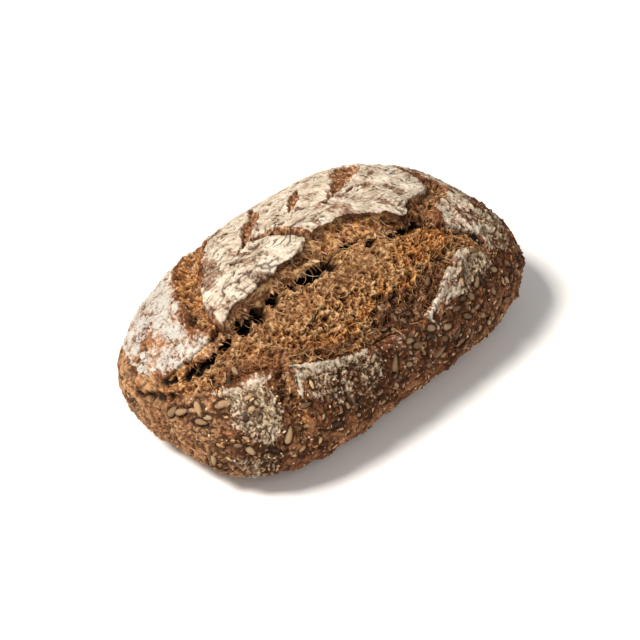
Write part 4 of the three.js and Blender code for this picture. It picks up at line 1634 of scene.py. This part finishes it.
@dataclass(frozen=True)
class BakedSkin(Finish):
    """Rye crust baked dark and dusted with flour before it went in.

    The flour lies matt and cream on what stands proud; between, the crust is red-brown, a
    little shiny, and painted nearly black in its dents as shade.
    """

    tones: tuple[str, str, str, str] = ("4b2812", "7d4d2c", "9b6643", "c49468")
    bared: tuple[str, str, str] = ("42200f", "82522f", "c89664")
    shadow: str = "2a1205"
    cracked: str = "38200f"
    tone_size: float = 11.0
    mottle_size: float = 2.3
    speck_size: float = 0.75

    def material(self) -> Material:
        """Builds the material.

        Returns:
            The material.
        """
        material, made = self.start(
            ("flour", "torn", "crack", "dent", "edge", "pale", "deep", "grainy"),
            {"tone": (self.tone_size, 3.0, 0.5), "mottle": (self.mottle_size, 5.0, 0.65),
             "speck": (self.speck_size, 3.0, 0.6)})
        tree, mottle = material.node_tree, made["mottle"]
        baked = add_node(tree, "Math", {"operation": "ADD"}, {0: made["tone"], 1: mottle})
        baked = add_node(tree, "Math", TIMES, {0: baked, 1: 0.5})
        # Painted light: the pale layer lightens the crust on the shoulder, the left end and the
        # lower edges.
        toned = add_node(tree, "Math", TIMES_PLUS, {0: made["pale"], 1: 0.22, 2: baked})
        # Flour clings to the coarse mottle and the specks, and less to dents and torn places.
        cling = made["flour"]
        for name, share in (("mottle", 1.3), ("speck", 0.4), ("dent", -0.45), ("torn", -0.9)):
            cling = add_node(tree, "Math", TIMES_PLUS, {0: made[name], 1: share, 2: cling})
        cover = add_node(
            tree, "MapRange", {"interpolation_type": "SMOOTHSTEP"},
            {"Value": cling, "From Min": 1.25, "From Max": 1.75})
        thick = add_node(
            tree, "MapRange", {},
            {"Value": made["flour"], "From Min": 0.3, "From Max": 0.9, "To Min": 0.62})
        cover = add_node(tree, "Math", TIMES, {0: cover, 1: thick})
        # Painted shade: dents, grooves and pores are darkened towards the shadow colour.
        dark = add_node(tree, "Math", TIMES, {0: made["dent"], 1: 0.9})
        damp = add_node(tree, "Math", TIMES, {0: made["grainy"], 1: 0.6})
        # On the same patches the flour is painted greyer, a painted shade over the lit shoulder.
        flour_greying = add_node(tree, "Math", TIMES | {"use_clamp": True}, {0: made["pale"], 1: 1.6})
        for name, source, stops in (
            ("crust", toned, tuple(zip((0.38, 0.46, 0.55, 0.66), self.tones))),
            ("crumb", mottle, tuple(zip((0.38, 0.5, 0.62), self.bared))),
            ("dust", baked, ((0.36, "9f8c76"), (0.48, "c5b59f"), (0.62, "dfd3c1"))),
            ("clots", mottle, ((0.38, "7e6040"), (0.5, "ac8e68"), (0.62, "d8c29e"))),
        ):
            made[name] = add_node(tree, "ValToRGB", {"stops": stops}, {"Fac": source})
        # Each coat: its name, how far the second colour covers the first, and the two.
        for name, factor, under, over in (
            ("bared", made["torn"], "crust", "crumb"),
            ("face", 0.5, "crumb", "784c34"),
            ("cut", made["edge"], "bared", "face"),
            ("dented", dark, "cut", self.shadow),
            ("greyed_flour", flour_greying, "dust", "b3b3ae"),
            ("clotted", damp, "greyed_flour", "clots"),
            ("dusted", cover, "dented", "clotted"),
            # Cracks get their dark colour; in the seeds' gaps, between granules and at the flap's
            # step this dark is painted shade.
            ("lined", made["crack"], "dusted", self.cracked),
            # Painted shade: the deep layer paints pits, holes and the crevice near black.
            ("skin", made["deep"], "lined", "0a0402"),
        ):
            made[name] = add_node(
                tree, "Mix", COLOURS,
                {MIX_FACTOR: factor, MIX_A: made[under], MIX_B: made.get(over, over)})
        rough = add_node(tree, "MapRange", {}, {"Value": cover, "To Min": 0.62, "To Max": 0.95})
        bump = add_node(
            tree, "Bump", {}, {"Strength": 0.9, "Distance": 0.9 * MM, "Height": mottle})
        bump = add_node(
            tree, "Bump", {},
            {"Strength": 0.8, "Distance": 0.3 * MM, "Height": made["speck"], "Normal": bump})
        return self.end(material, {"Base Color": made["skin"], "Roughness": rough, "Normal": bump})


@dataclass(frozen=True)
class TornCrumb(Finish):
    """Rye crumb torn open in the oven, which toasts its strands orange-brown.

    Crests are painted lighter as tan and orange threads, a painted highlight, and pores are painted
    near black as shade.
    """

    name: str = "torn rye crumb"
    mottle_size: float = 3.0
    grain_size: float = 0.7

    def material(self) -> Material:
        """Builds the material.

        Returns:
            The material.
        """
        material, made = self.start(
            ("pore", "strand", "wool", "firm", "deep", "seedy", "toast"),
            {"mottle": (self.mottle_size, 5.0, 0.7), "grain": (self.grain_size, 3.0, 0.6)})
        tree, mottle = material.node_tree, made["mottle"]
        # Painted highlight: the strand layer lightens the threads' crests and the torn face.
        lit = add_node(tree, "Math", TIMES_PLUS, {0: made["strand"], 1: 0.34, 2: mottle})
        woolly = add_node(tree, "Math", TIMES, {0: made["wool"], 1: 0.6})
        ramps = {}
        for name, source, stops in (
            ("web", lit, ((0.38, "30150a"), (0.51, "633d24"), (0.66, "92683f"), (0.84, "ccaa7e"))),
            ("toast", lit,
             ((0.38, "33140a"), (0.51, "6c3b1a"), (0.66, "9e602c"), (0.84, "d09a60"))),
            ("wool", mottle, ((0.34, "4c2c14"), (0.48, "8a6440"), (0.62, "c8a880"))),
            ("firm", mottle, ((0.35, "4c2c1c"), (0.5, "785038"), (0.65, "a67c5a"))),
            # The dark seed-crumb colour, also painted as shade over the tear floors.
            ("seedy", mottle, ((0.35, "3a1c0c"), (0.5, "66412a"), (0.66, "9a7454"))),
        ):
            ramps[name] = add_node(tree, "ValToRGB", {"stops": stops}, {"Fac": source})
        colour = ramps["web"]
        for factor, over in (
            (made["toast"], ramps["toast"]), (woolly, ramps["wool"]),
            (made["firm"], ramps["firm"]), (made["seedy"], ramps["seedy"]),
            # Painted shade: pores are painted dark, and the deep layer paints holes and the crevice
            # near black.
            (made["pore"], "2c1206"), (made["deep"], "080301"),
        ):
            colour = add_node(
                tree, "Mix", COLOURS, {MIX_FACTOR: factor, MIX_A: colour, MIX_B: over})
        bump = add_node(
            tree, "Bump", {}, {"Strength": 0.7, "Distance": 0.5 * MM, "Height": made["grain"]})
        return self.end(material, {"Base Color": colour, "Roughness": 0.85, "Normal": bump})


@dataclass(frozen=True)
class Tinted(Finish):
    """Small pieces whose colour runs between stops by each piece's own tint.

    Toasted strands, seed hulls and bran are matt and each one differs a little.
    """

    stops: tuple[tuple[float, str], ...]
    roughness: float = 0.8
    grain_size: float = 0.8

    def material(self) -> Material:
        """Builds the material.

        Returns:
            The material.
        """
        material, made = self.start(("tint",), {"grain": (self.grain_size, 3.0, 0.5)})
        tree, grain = material.node_tree, made["grain"]
        mixed = add_node(tree, "Math", TIMES_PLUS, {0: grain, 1: 0.5, 2: made["tint"]})
        mixed = add_node(tree, "Math", {"operation": "SUBTRACT"}, {0: mixed, 1: 0.25})
        ramp = add_node(tree, "ValToRGB", {"stops": self.stops}, {"Fac": mixed})
        bump = add_node(
            tree, "Bump", {}, {"Strength": 0.5, "Distance": 0.15 * MM, "Height": grain})
        return self.end(
            material, {"Base Color": ramp, "Roughness": self.roughness, "Normal": bump})


class Ground:
    """Finds the surface of built pieces under a place on the skin."""

    def __init__(self, pieces: list[Object]) -> None:
        """Makes a search tree of each piece."""
        graph = bpy.context.evaluated_depsgraph_get()
        self.trees = [BVHTree.FromObject(piece, graph) for piece in pieces]

    def under(self, point: Array, outward: Array, above: float = 5.0, reach: float = 12.0) -> Array:
        """Surface point below a point.

        Args:
            point: Point in mm.
            outward: Direction away from the loaf.
            above: How far over the point the search starts, in mm.
            reach: How far down it goes from there, in mm.

        Returns:
            The surface point in mm, or the point itself where there is no surface.
        """
        outward = Vector(outward)
        start = (Vector(point) + outward * above + Vector(CENTRING)) * MM
        hits = [tree.ray_cast(start, -outward, reach * MM) for tree in self.trees]
        found = [hit for hit in hits if hit[0] is not None]
        if not found:
            return point
        return np.array(min(found, key=lambda hit: hit[3])[0]) / MM - np.array(CENTRING)

    def seat(self, seed: Seed) -> tuple[Places, Array]:
        """The seed's place on the skin, and the surface point in mm under it."""
        place = Places.over(seed.x, seed.degrees)
        return place, self.under(place.base, place.outward, 20.0, 60.0)


def repeated(
    name: str, template: Mesh, copies: list[Array], tints: Array | list[list[float]]
) -> Object:
    """Object made of many copies of a small closed mesh.

    Args:
        name: Name of the piece.
        template: Mesh of one copy, which is freed.
        copies: Places in mm of the vertices of each copy.
        tints: Numbers from 0 to 1, one list a copy with one for it or for each vertex.

    Returns:
        The linked object.
    """
    one = bpy.data.meshes.new(name + " template")
    template.to_mesh(one)
    template.free()
    rows = np.array(copies)
    rows[..., 2] = np.maximum(rows[..., 2], 0.0)
    bm = bmesh.new()
    for _ in copies:
        bm.from_mesh(one)
    move_to(bm, rows.reshape(-1, 3))
    bmesh.ops.recalc_face_normals(bm, faces=bm.faces)
    bpy.data.meshes.remove(one)
    return mesh_object(name, bm, {"tint": np.broadcast_to(tints, rows.shape[:2]).ravel()})


@dataclass
class Strands:
    """Torn threads of crumb that lie on the films' edges and bridge the crevice."""

    count: int = 1600
    bridges: int = 80
    rings: int = 8

    def template(self) -> Mesh:
        """Three-sided closed tube one unit long.

        Returns:
            The mesh.
        """
        bm = bmesh.new()
        bmesh.ops.create_cone(
            bm, cap_ends=True, cap_tris=True, segments=3, radius1=1.0, radius2=1.0, depth=1.0)
        sides = [edge for edge in bm.edges if abs(edge.verts[0].co.z - edge.verts[1].co.z) > 0.5]
        bmesh.ops.subdivide_edges(bm, edges=sides, cuts=self.rings - 1)
        return bm

    def build(self, ground: Ground, crumb: Crumb) -> Object:
        """Builds every strand.

        Args:
            ground: Surface that the lying strands end on.
            crumb: Crumb whose perches the strands start from.

        Returns:
            The piece.
        """
        draw = random.Random(11)
        bm = self.template()
        shape = rows_of(bm)
        share = (shape[:, 2] + 0.5)[:, None]
        copies, tints = [], []
        for number in range(self.count):
            bridge = number < self.bridges
            perches = crumb.faces if bridge else crumb.crests
            start, along, across, outward, _ = perches.pick(draw)
            if bridge:
                reach = across * draw.uniform(5.0, 11.0) + along * draw.gauss(0.0, 4.0)
                end = start + reach - outward * draw.uniform(-2.0, 3.0)
                lift, radius, curl = draw.uniform(-1.0, 1.0), draw.uniform(0.1, 0.17), 0.3
            else:
                heading = math.radians(draw.gauss(70.0, 60.0))
                length = 2.0 + 5.0 * draw.random() ** 1.6
                end = start + (along * math.cos(heading) + across * math.sin(heading)) * length
                end = ground.under(end, outward)
                lift, radius, curl = draw.uniform(-0.1, 0.6), 0.13 + 0.22 * draw.random() ** 2, 1.1
            side = unit(np.cross(outward, end - start))
            bend = draw.uniform(-0.4, 0.4) * float(np.linalg.norm(end - start))
            middle = (start + end) / 2.0 + outward * lift * 2.0 + side * bend
            path = (1 - share) ** 2 * start + 2 * share * (1 - share) * middle + share**2 * end
            wave = np.sin(2.0 * math.pi * share)
            path = path + side * (curl * draw.uniform(-0.6, 0.6)) * wave
            ahead = unit(2 * (1 - share) * (middle - start) + 2 * share * (end - middle))
            right = unit(np.cross(ahead, outward))
            over = np.cross(right, ahead)
            thick = radius * (1.0 - 0.75 * np.abs(2.0 * share - 1.0) ** 2.5)
            copies.append(path + thick * (right * shape[:, :1] + over * shape[:, 1:2]))
            tints.append([draw.uniform(0.5, 1.0) if bridge else draw.uniform(0.1, 0.9)])
        return repeated("crumb_strands", bm, copies, tints)


def oriented(shape: Array, point: Array, ahead: Array, up: Array, size: Triple) -> Array:
    """Places a unit shape with its X ahead and its Z up.

    Args:
        shape: Rows of the shape, one unit in radius.
        point: Middle of the placed shape.
        ahead: Direction of its length.
        up: Rough direction of its thickness.
        size: Length, width and thickness.

    Returns:
        The placed rows.
    """
    ahead = unit(ahead)
    side = unit(np.cross(up, ahead))
    half = np.array(size)[:, None] / 2.0
    return point + shape @ (np.stack([ahead, side, np.cross(ahead, side)]) * half)


@dataclass
class Seeds:
    """Seeds of one kind, each an egg drawn to a point at one end."""

    name: str
    seeds: list[Seed]
    sides: int = 12
    rings: int = 10
    pointed: float = 0.34
    edge_shade: float = 0.45

    def build(self, ground: Ground) -> Object:
        """Builds every seed of this kind.

        Args:
            ground: Surface that the seeds lie on.

        Returns:
            The piece.
        """
        bm, shape = bead(self.sides, self.rings)
        shape[:, 1:] *= 1.0 - self.pointed * (shape[:, :1] + 0.2)
        copies = []
        for seed in self.seeds:
            place, point = ground.seat(seed)
            outward = place.outward
            ahead, _ = place.turned(seed.heading)
            ahead = ahead - outward * float(ahead @ outward)
            middle = point + outward * (0.5 - seed.sink) * seed.thick
            size = (seed.length, seed.width, seed.thick)
            copies.append(oriented(shape, middle, ahead, outward, size))
        # Painted shade: each seed is painted darker round its edge.
        edge = self.edge_shade * fade(0.15, 0.6, np.abs(shape[:, 2]))
        tints = np.array([[seed.tint] for seed in self.seeds]) - edge
        return repeated(self.name, bm, copies, tints)


@dataclass
class Shreds:
    """Ragged shreds of crumb and crust that stick out of the torn face under the ear."""

    count: int = 620
    sides: int = 8
    rings: int = 6

    def build(self, crumb: Crumb) -> Object:
        """Builds every shred.

        Args:
            crumb: Crumb whose torn face the shreds stick out of.

        Returns:
            The piece.
        """
        draw = random.Random(23)
        bm, ball = bead(self.sides, self.rings)
        x, y = ball[:, 0], ball[:, 1]
        copies, tints = [], []
        for _ in range(self.count):
            point, along, across, outward, part = crumb.faces.pick(draw)
            ahead = across * draw.uniform(0.3, 1.0) + along * draw.gauss(0.0, 0.9)
            ahead = unit(ahead - outward * draw.uniform(-0.2, 0.7))
            facing = outward + along * draw.gauss(0.0, 0.4) + across * draw.uniform(-0.3, 0.7)
            length = 1.6 + 4.6 * draw.random() ** 1.8
            width = length * draw.uniform(0.25, 0.6)
            shape = ball.copy()
            ragged = 1.0 + 0.35 * np.sin(4.0 * x + draw.uniform(0.0, 6.0))
            shape[:, 1] *= (0.75 - 0.5 * x) * ragged
            shape[:, 2] += draw.uniform(-2.5, 1.5) * x**2 + draw.uniform(-1.5, 1.5) * y**2
            size = (length, width, 2.0 * draw.uniform(0.22, 0.42))
            copies.append(oriented(shape, point + ahead * length * 0.3, ahead, facing, size))
            tints.append([np.clip(0.35 + 0.35 * part + draw.uniform(-0.3, 0.3), 0.0, 1.0)])
        return repeated("torn_shreds", bm, copies, tints)


class Mulberry:
    """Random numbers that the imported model's source draws too, so that grains coincide."""

    MASK = 0xFFFFFFFF

    def __init__(self, seed: int) -> None:
        """Starts the draws."""
        self.state = seed

    def draw(self) -> float:
        """Draws the next number.

        Returns:
            A number from 0 to 1.
        """
        self.state = (self.state + 0x6D2B79F5) & self.MASK
        t = self.state
        t = ((t ^ (t >> 15)) * (1 | t)) & self.MASK
        t = ((t + (((t ^ (t >> 7)) * (61 | t)) & self.MASK)) & self.MASK) ^ t
        return ((t ^ (t >> 14)) & self.MASK) / 4294967296.0

    def within(self, low: float, high: float) -> float:
        """Next number from low to high."""
        return low + (high - low) * self.draw()


def kernel_list() -> list[Seed]:
    """Every sunflower kernel.

    Returns:
        The kernels, with the paler ones at the left end.
    """
    kernels = []
    for i, (x, degrees, heading, length) in enumerate(KERNELS):
        tint = 0.25 + 0.35 * ((i * 0.37) % 1.0) + 0.28 * (x < -95)
        width, thick = 0.43 * length, 0.28 * length
        kernels.append(Seed(x, degrees, heading, length, width, thick, 0.42, tint))
    return kernels


def groat_list() -> list[Seed]:
    """Every small kernel and groat.

    Returns:
        The groats.
    """
    return [
        Seed(x, degrees, heading, 1.25 * length, 1.2 * slim * length, 0.4 * slim * length + 0.6,
             0.45, tint)
        for x, degrees, heading, length, slim, tint in GROATS
    ]


def grain_list() -> list[Seed]:
    """Every bit of cracked grain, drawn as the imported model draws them.

    Returns:
        The grains, longest first.
    """
    beds = (((-124, 112), (-96, 176)), ((-70, 158), (-20, 190)), ((-10, 157), (60, 186)))
    count, longest, shortest = 30, 6.4, 3.8
    source = Mulberry(4217)
    grains = []
    for i in range(count):
        (x0, d0), (x1, d1) = beds[i % len(beds)]
        length = longest + (shortest - longest) * i / count
        x, degrees, heading = source.within(x0, x1), source.within(d0, d1), 360.0 * source.draw()
        width, thick, tint = 0.55 * length, 0.3 * length, (i * 0.61) % 1.0
        grains.append(Seed(x, degrees, heading, length, width, thick, 0.3, tint))
    return grains


def scattered(count: int, lengths: tuple[float, float], slim: float, seed: int) -> list[Seed]:
    """Small bits strewn over the loaf's front, ends and back.

    Args:
        count: Number of bits.
        lengths: Shortest and longest in mm.
        slim: Width as a share of the length.
        seed: Starts the draws.

    Returns:
        The bits.
    """
    draw = random.Random(seed)
    bits = []
    while len(bits) < count:
        x, degrees = draw.uniform(-127.5, 127.5), draw.uniform(-30.0, 228.0)
        low = float(SLASH.front_at(x)) + 3.0
        if abs(x + 20.0) > 100.0:
            low = 100.0 if x < 0 else 112.0
        if degrees < low and (degrees > 18.0 or draw.random() > 0.5):
            continue
        length = lengths[0] + (lengths[1] - lengths[0]) * draw.random() ** 1.6
        width = length * slim * draw.uniform(0.8, 1.25)
        heading, sink = draw.uniform(0.0, 360.0), draw.uniform(0.45, 0.78)
        bits.append(Seed(x, degrees, heading, length, width, 0.5 * width, sink, draw.random()))
    return bits


@dataclass
class Studio:
    """Pale floor, soft light and the camera."""

    turn: float = 49.1
    tilt: float = 40.0
    distance: float = 1200.0
    mm_per_pixel: float = 0.58
    frame_pixels: float = 640.0
    aim_height: float = 40.0
    aim_pixel: tuple[float, float] = (320.2, 299.9)
    sensor: float = 36.0

    def build(self) -> None:
        """Adds the floor, the lights and the camera."""
        turn, tilt = math.radians(self.turn), math.radians(self.tilt)
        right = Vector((math.cos(turn), -math.sin(turn), 0.0))
        away = Vector((math.sin(turn), math.cos(turn), 0.0))
        back = (-away * math.cos(tilt) + Vector((0.0, 0.0, math.sin(tilt)))).normalized()
        up = back.cross(right)
        aim = Vector((CENTRING[0], CENTRING[1], self.aim_height))
        middle = self.frame_pixels / 2.0
        aim -= right * (self.aim_pixel[0] - middle) * self.mm_per_pixel
        aim += up * (self.aim_pixel[1] - middle) * self.mm_per_pixel
        camera = bpy.data.cameras.new("camera")
        camera.sensor_width = self.sensor
        camera.lens = self.sensor * self.distance / (self.frame_pixels * self.mm_per_pixel)
        camera.clip_start, camera.clip_end = 0.05, 50.0
        eye = linked("camera", camera)
        rotation = Matrix((right, up, back)).transposed().to_4x4()
        eye.matrix_world = Matrix.Translation((aim + back * self.distance) * MM) @ rotation
        bpy.context.scene.camera = eye

        bm = bmesh.new()
        bmesh.ops.create_grid(bm, x_segments=1, y_segments=1, size=6.0)
        mesh = bpy.data.meshes.new("floor")
        bm.to_mesh(mesh)
        bm.free()
        paint = bpy.data.materials.new("pale studio floor")
        paint.use_nodes = True
        shader = paint.node_tree.nodes["Principled BSDF"]
        plug(shader, {"Base Color": "f4f2ef", "Roughness": 0.8})
        mesh.materials.append(paint)
        linked("floor", mesh)

        self.lamp("key", right * -1350 - away * 450 + Vector((0, 0, 2150)), 0.75, 96.0, "fffaf4")
        self.lamp("fill", right * 900 - away * 1800 + Vector((0, 0, 1500)), 2.2, 20.0, "fffcf9")
        world = bpy.data.worlds.new("studio")
        world.use_nodes = True
        plug(world.node_tree.nodes["Background"], {"Color": "ffffff", "Strength": 0.3})
        bpy.context.scene.world = world
        bpy.context.scene.view_settings.view_transform = "Standard"

    def lamp(self, name: str, place: Vector, size: float, power: float, code: str) -> None:
        """Adds a square lamp that faces the loaf.

        Args:
            name: Name of the lamp.
            place: Where it stands, in mm.
            size: Side in metres.
            power: Watts.
            code: sRGB colour.
        """
        light = bpy.data.lights.new(name, "AREA")
        light.size, light.energy, light.color = size, power, linear(code)[:3]
        lamp = linked(name, light)
        lamp.location = place * MM
        facing = place - Vector((0.0, 0.0, self.aim_height))
        lamp.rotation_euler = facing.to_track_quat("Z", "Y").to_euler()


def dress(piece: Object, finish: Finish) -> Object:
    """Gives a piece its material, hangs it on the root body and hides the imported loaf.

    Args:
        piece: The built piece.
        finish: Its finish, whose material is made once.

    Returns:
        The piece.
    """
    material = bpy.data.materials.get(finish.name) or finish.material()
    piece.data.materials.append(material)
    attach(piece, "root")
    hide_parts("loaf")
    LOG.info("%s: %d faces", piece.name, len(piece.data.polygons))
    return piece


def main() -> None:
    """Builds every piece, dresses it and puts it in the studio."""
    logging.basicConfig(level=logging.INFO, format="%(message)s")
    Studio().build()
    kernels, grains, groats = kernel_list(), grain_list(), groat_list()
    bran = scattered(740, (1.6, 5.8), 0.5, 31)
    nested = kernels + grains + groats + [bit for bit in bran if bit.length > 3.0]
    crust, flap = Crust(seeds=nested).build(), Flap().build()
    slash = Crumb()
    crumb = slash.build()
    dress(crust, BakedSkin("baked rye crust"))
    tones = ("54392c", "80604e", "a08066", "c2a688")
    bared = ("5c3620", "966845", "cba27c")
    dress(flap, BakedSkin("floured rye crust", tones, bared, "3a1d0e"))
    dress(crumb, TornCrumb())
    floors = []
    for tear in (
        TearFloor("left_tear", TEARS[0], 20.0, 0.42, 0.1),
        TearFloor("right_tear", TEARS[1], 21.0, 0.1, 0.6),
        TearFloor("front_tear", TEARS[2], 22.0, 0.2, 0.3),
    ):
        floors.append(dress(tear.build(), TornCrumb()))
        slash.crests.rows = np.concatenate([slash.crests.rows, tear.crests.rows])
    ground = Ground([crust, crumb] + floors)
    dust = scattered(1450, (0.7, 2.6), 0.6, 37)
    for piece, name, stops, roughness, slot in (
        (Strands().build(ground, slash), "toasted crumb threads",
         ((0.1, "6a3c1a"), (0.45, "a26a38"), (0.75, "c89c66"), (1.0, "e8cfa6")), 0.8, "crumb"),
        (Shreds().build(slash), "torn shreds",
         ((0.1, "55301b"), (0.4, "885b3d"), (0.7, "b48a66"), (1.0, "dcbb96")), 0.8, "crumb"),
        (Seeds("kernels", kernels, pointed=0.32).build(ground), "sunflower kernels",
         ((0.1, "44301f"), (0.5, "7e6248"), (0.9, "ac8f6a")), 0.6, "kernels"),
        (Seeds("grains", grains + groats, 8, 6, 0.2).build(ground), "cracked grain",
         ((0.1, "37261a"), (0.5, "7b6048"), (0.9, "a98c6c")), 0.65, "kernels"),
        (Seeds("bran", bran, 8, 5, 0.2).build(ground), "baked bran and broken grain",
         ((0.1, "4a2b17"), (0.5, "8c6140"), (0.9, "c8a57a")), 0.7, "kernels"),
        (Seeds("flour_crumbs", dust, 6, 4, 0.1).build(ground), "flour crumbs",
         ((0.1, "80593a"), (0.5, "b4936c"), (0.9, "dcc9aa")), 0.9, "flour"),
    ):
        dress(piece, Tinted(name, stops, roughness))


if __name__ == "__main__":
    main()
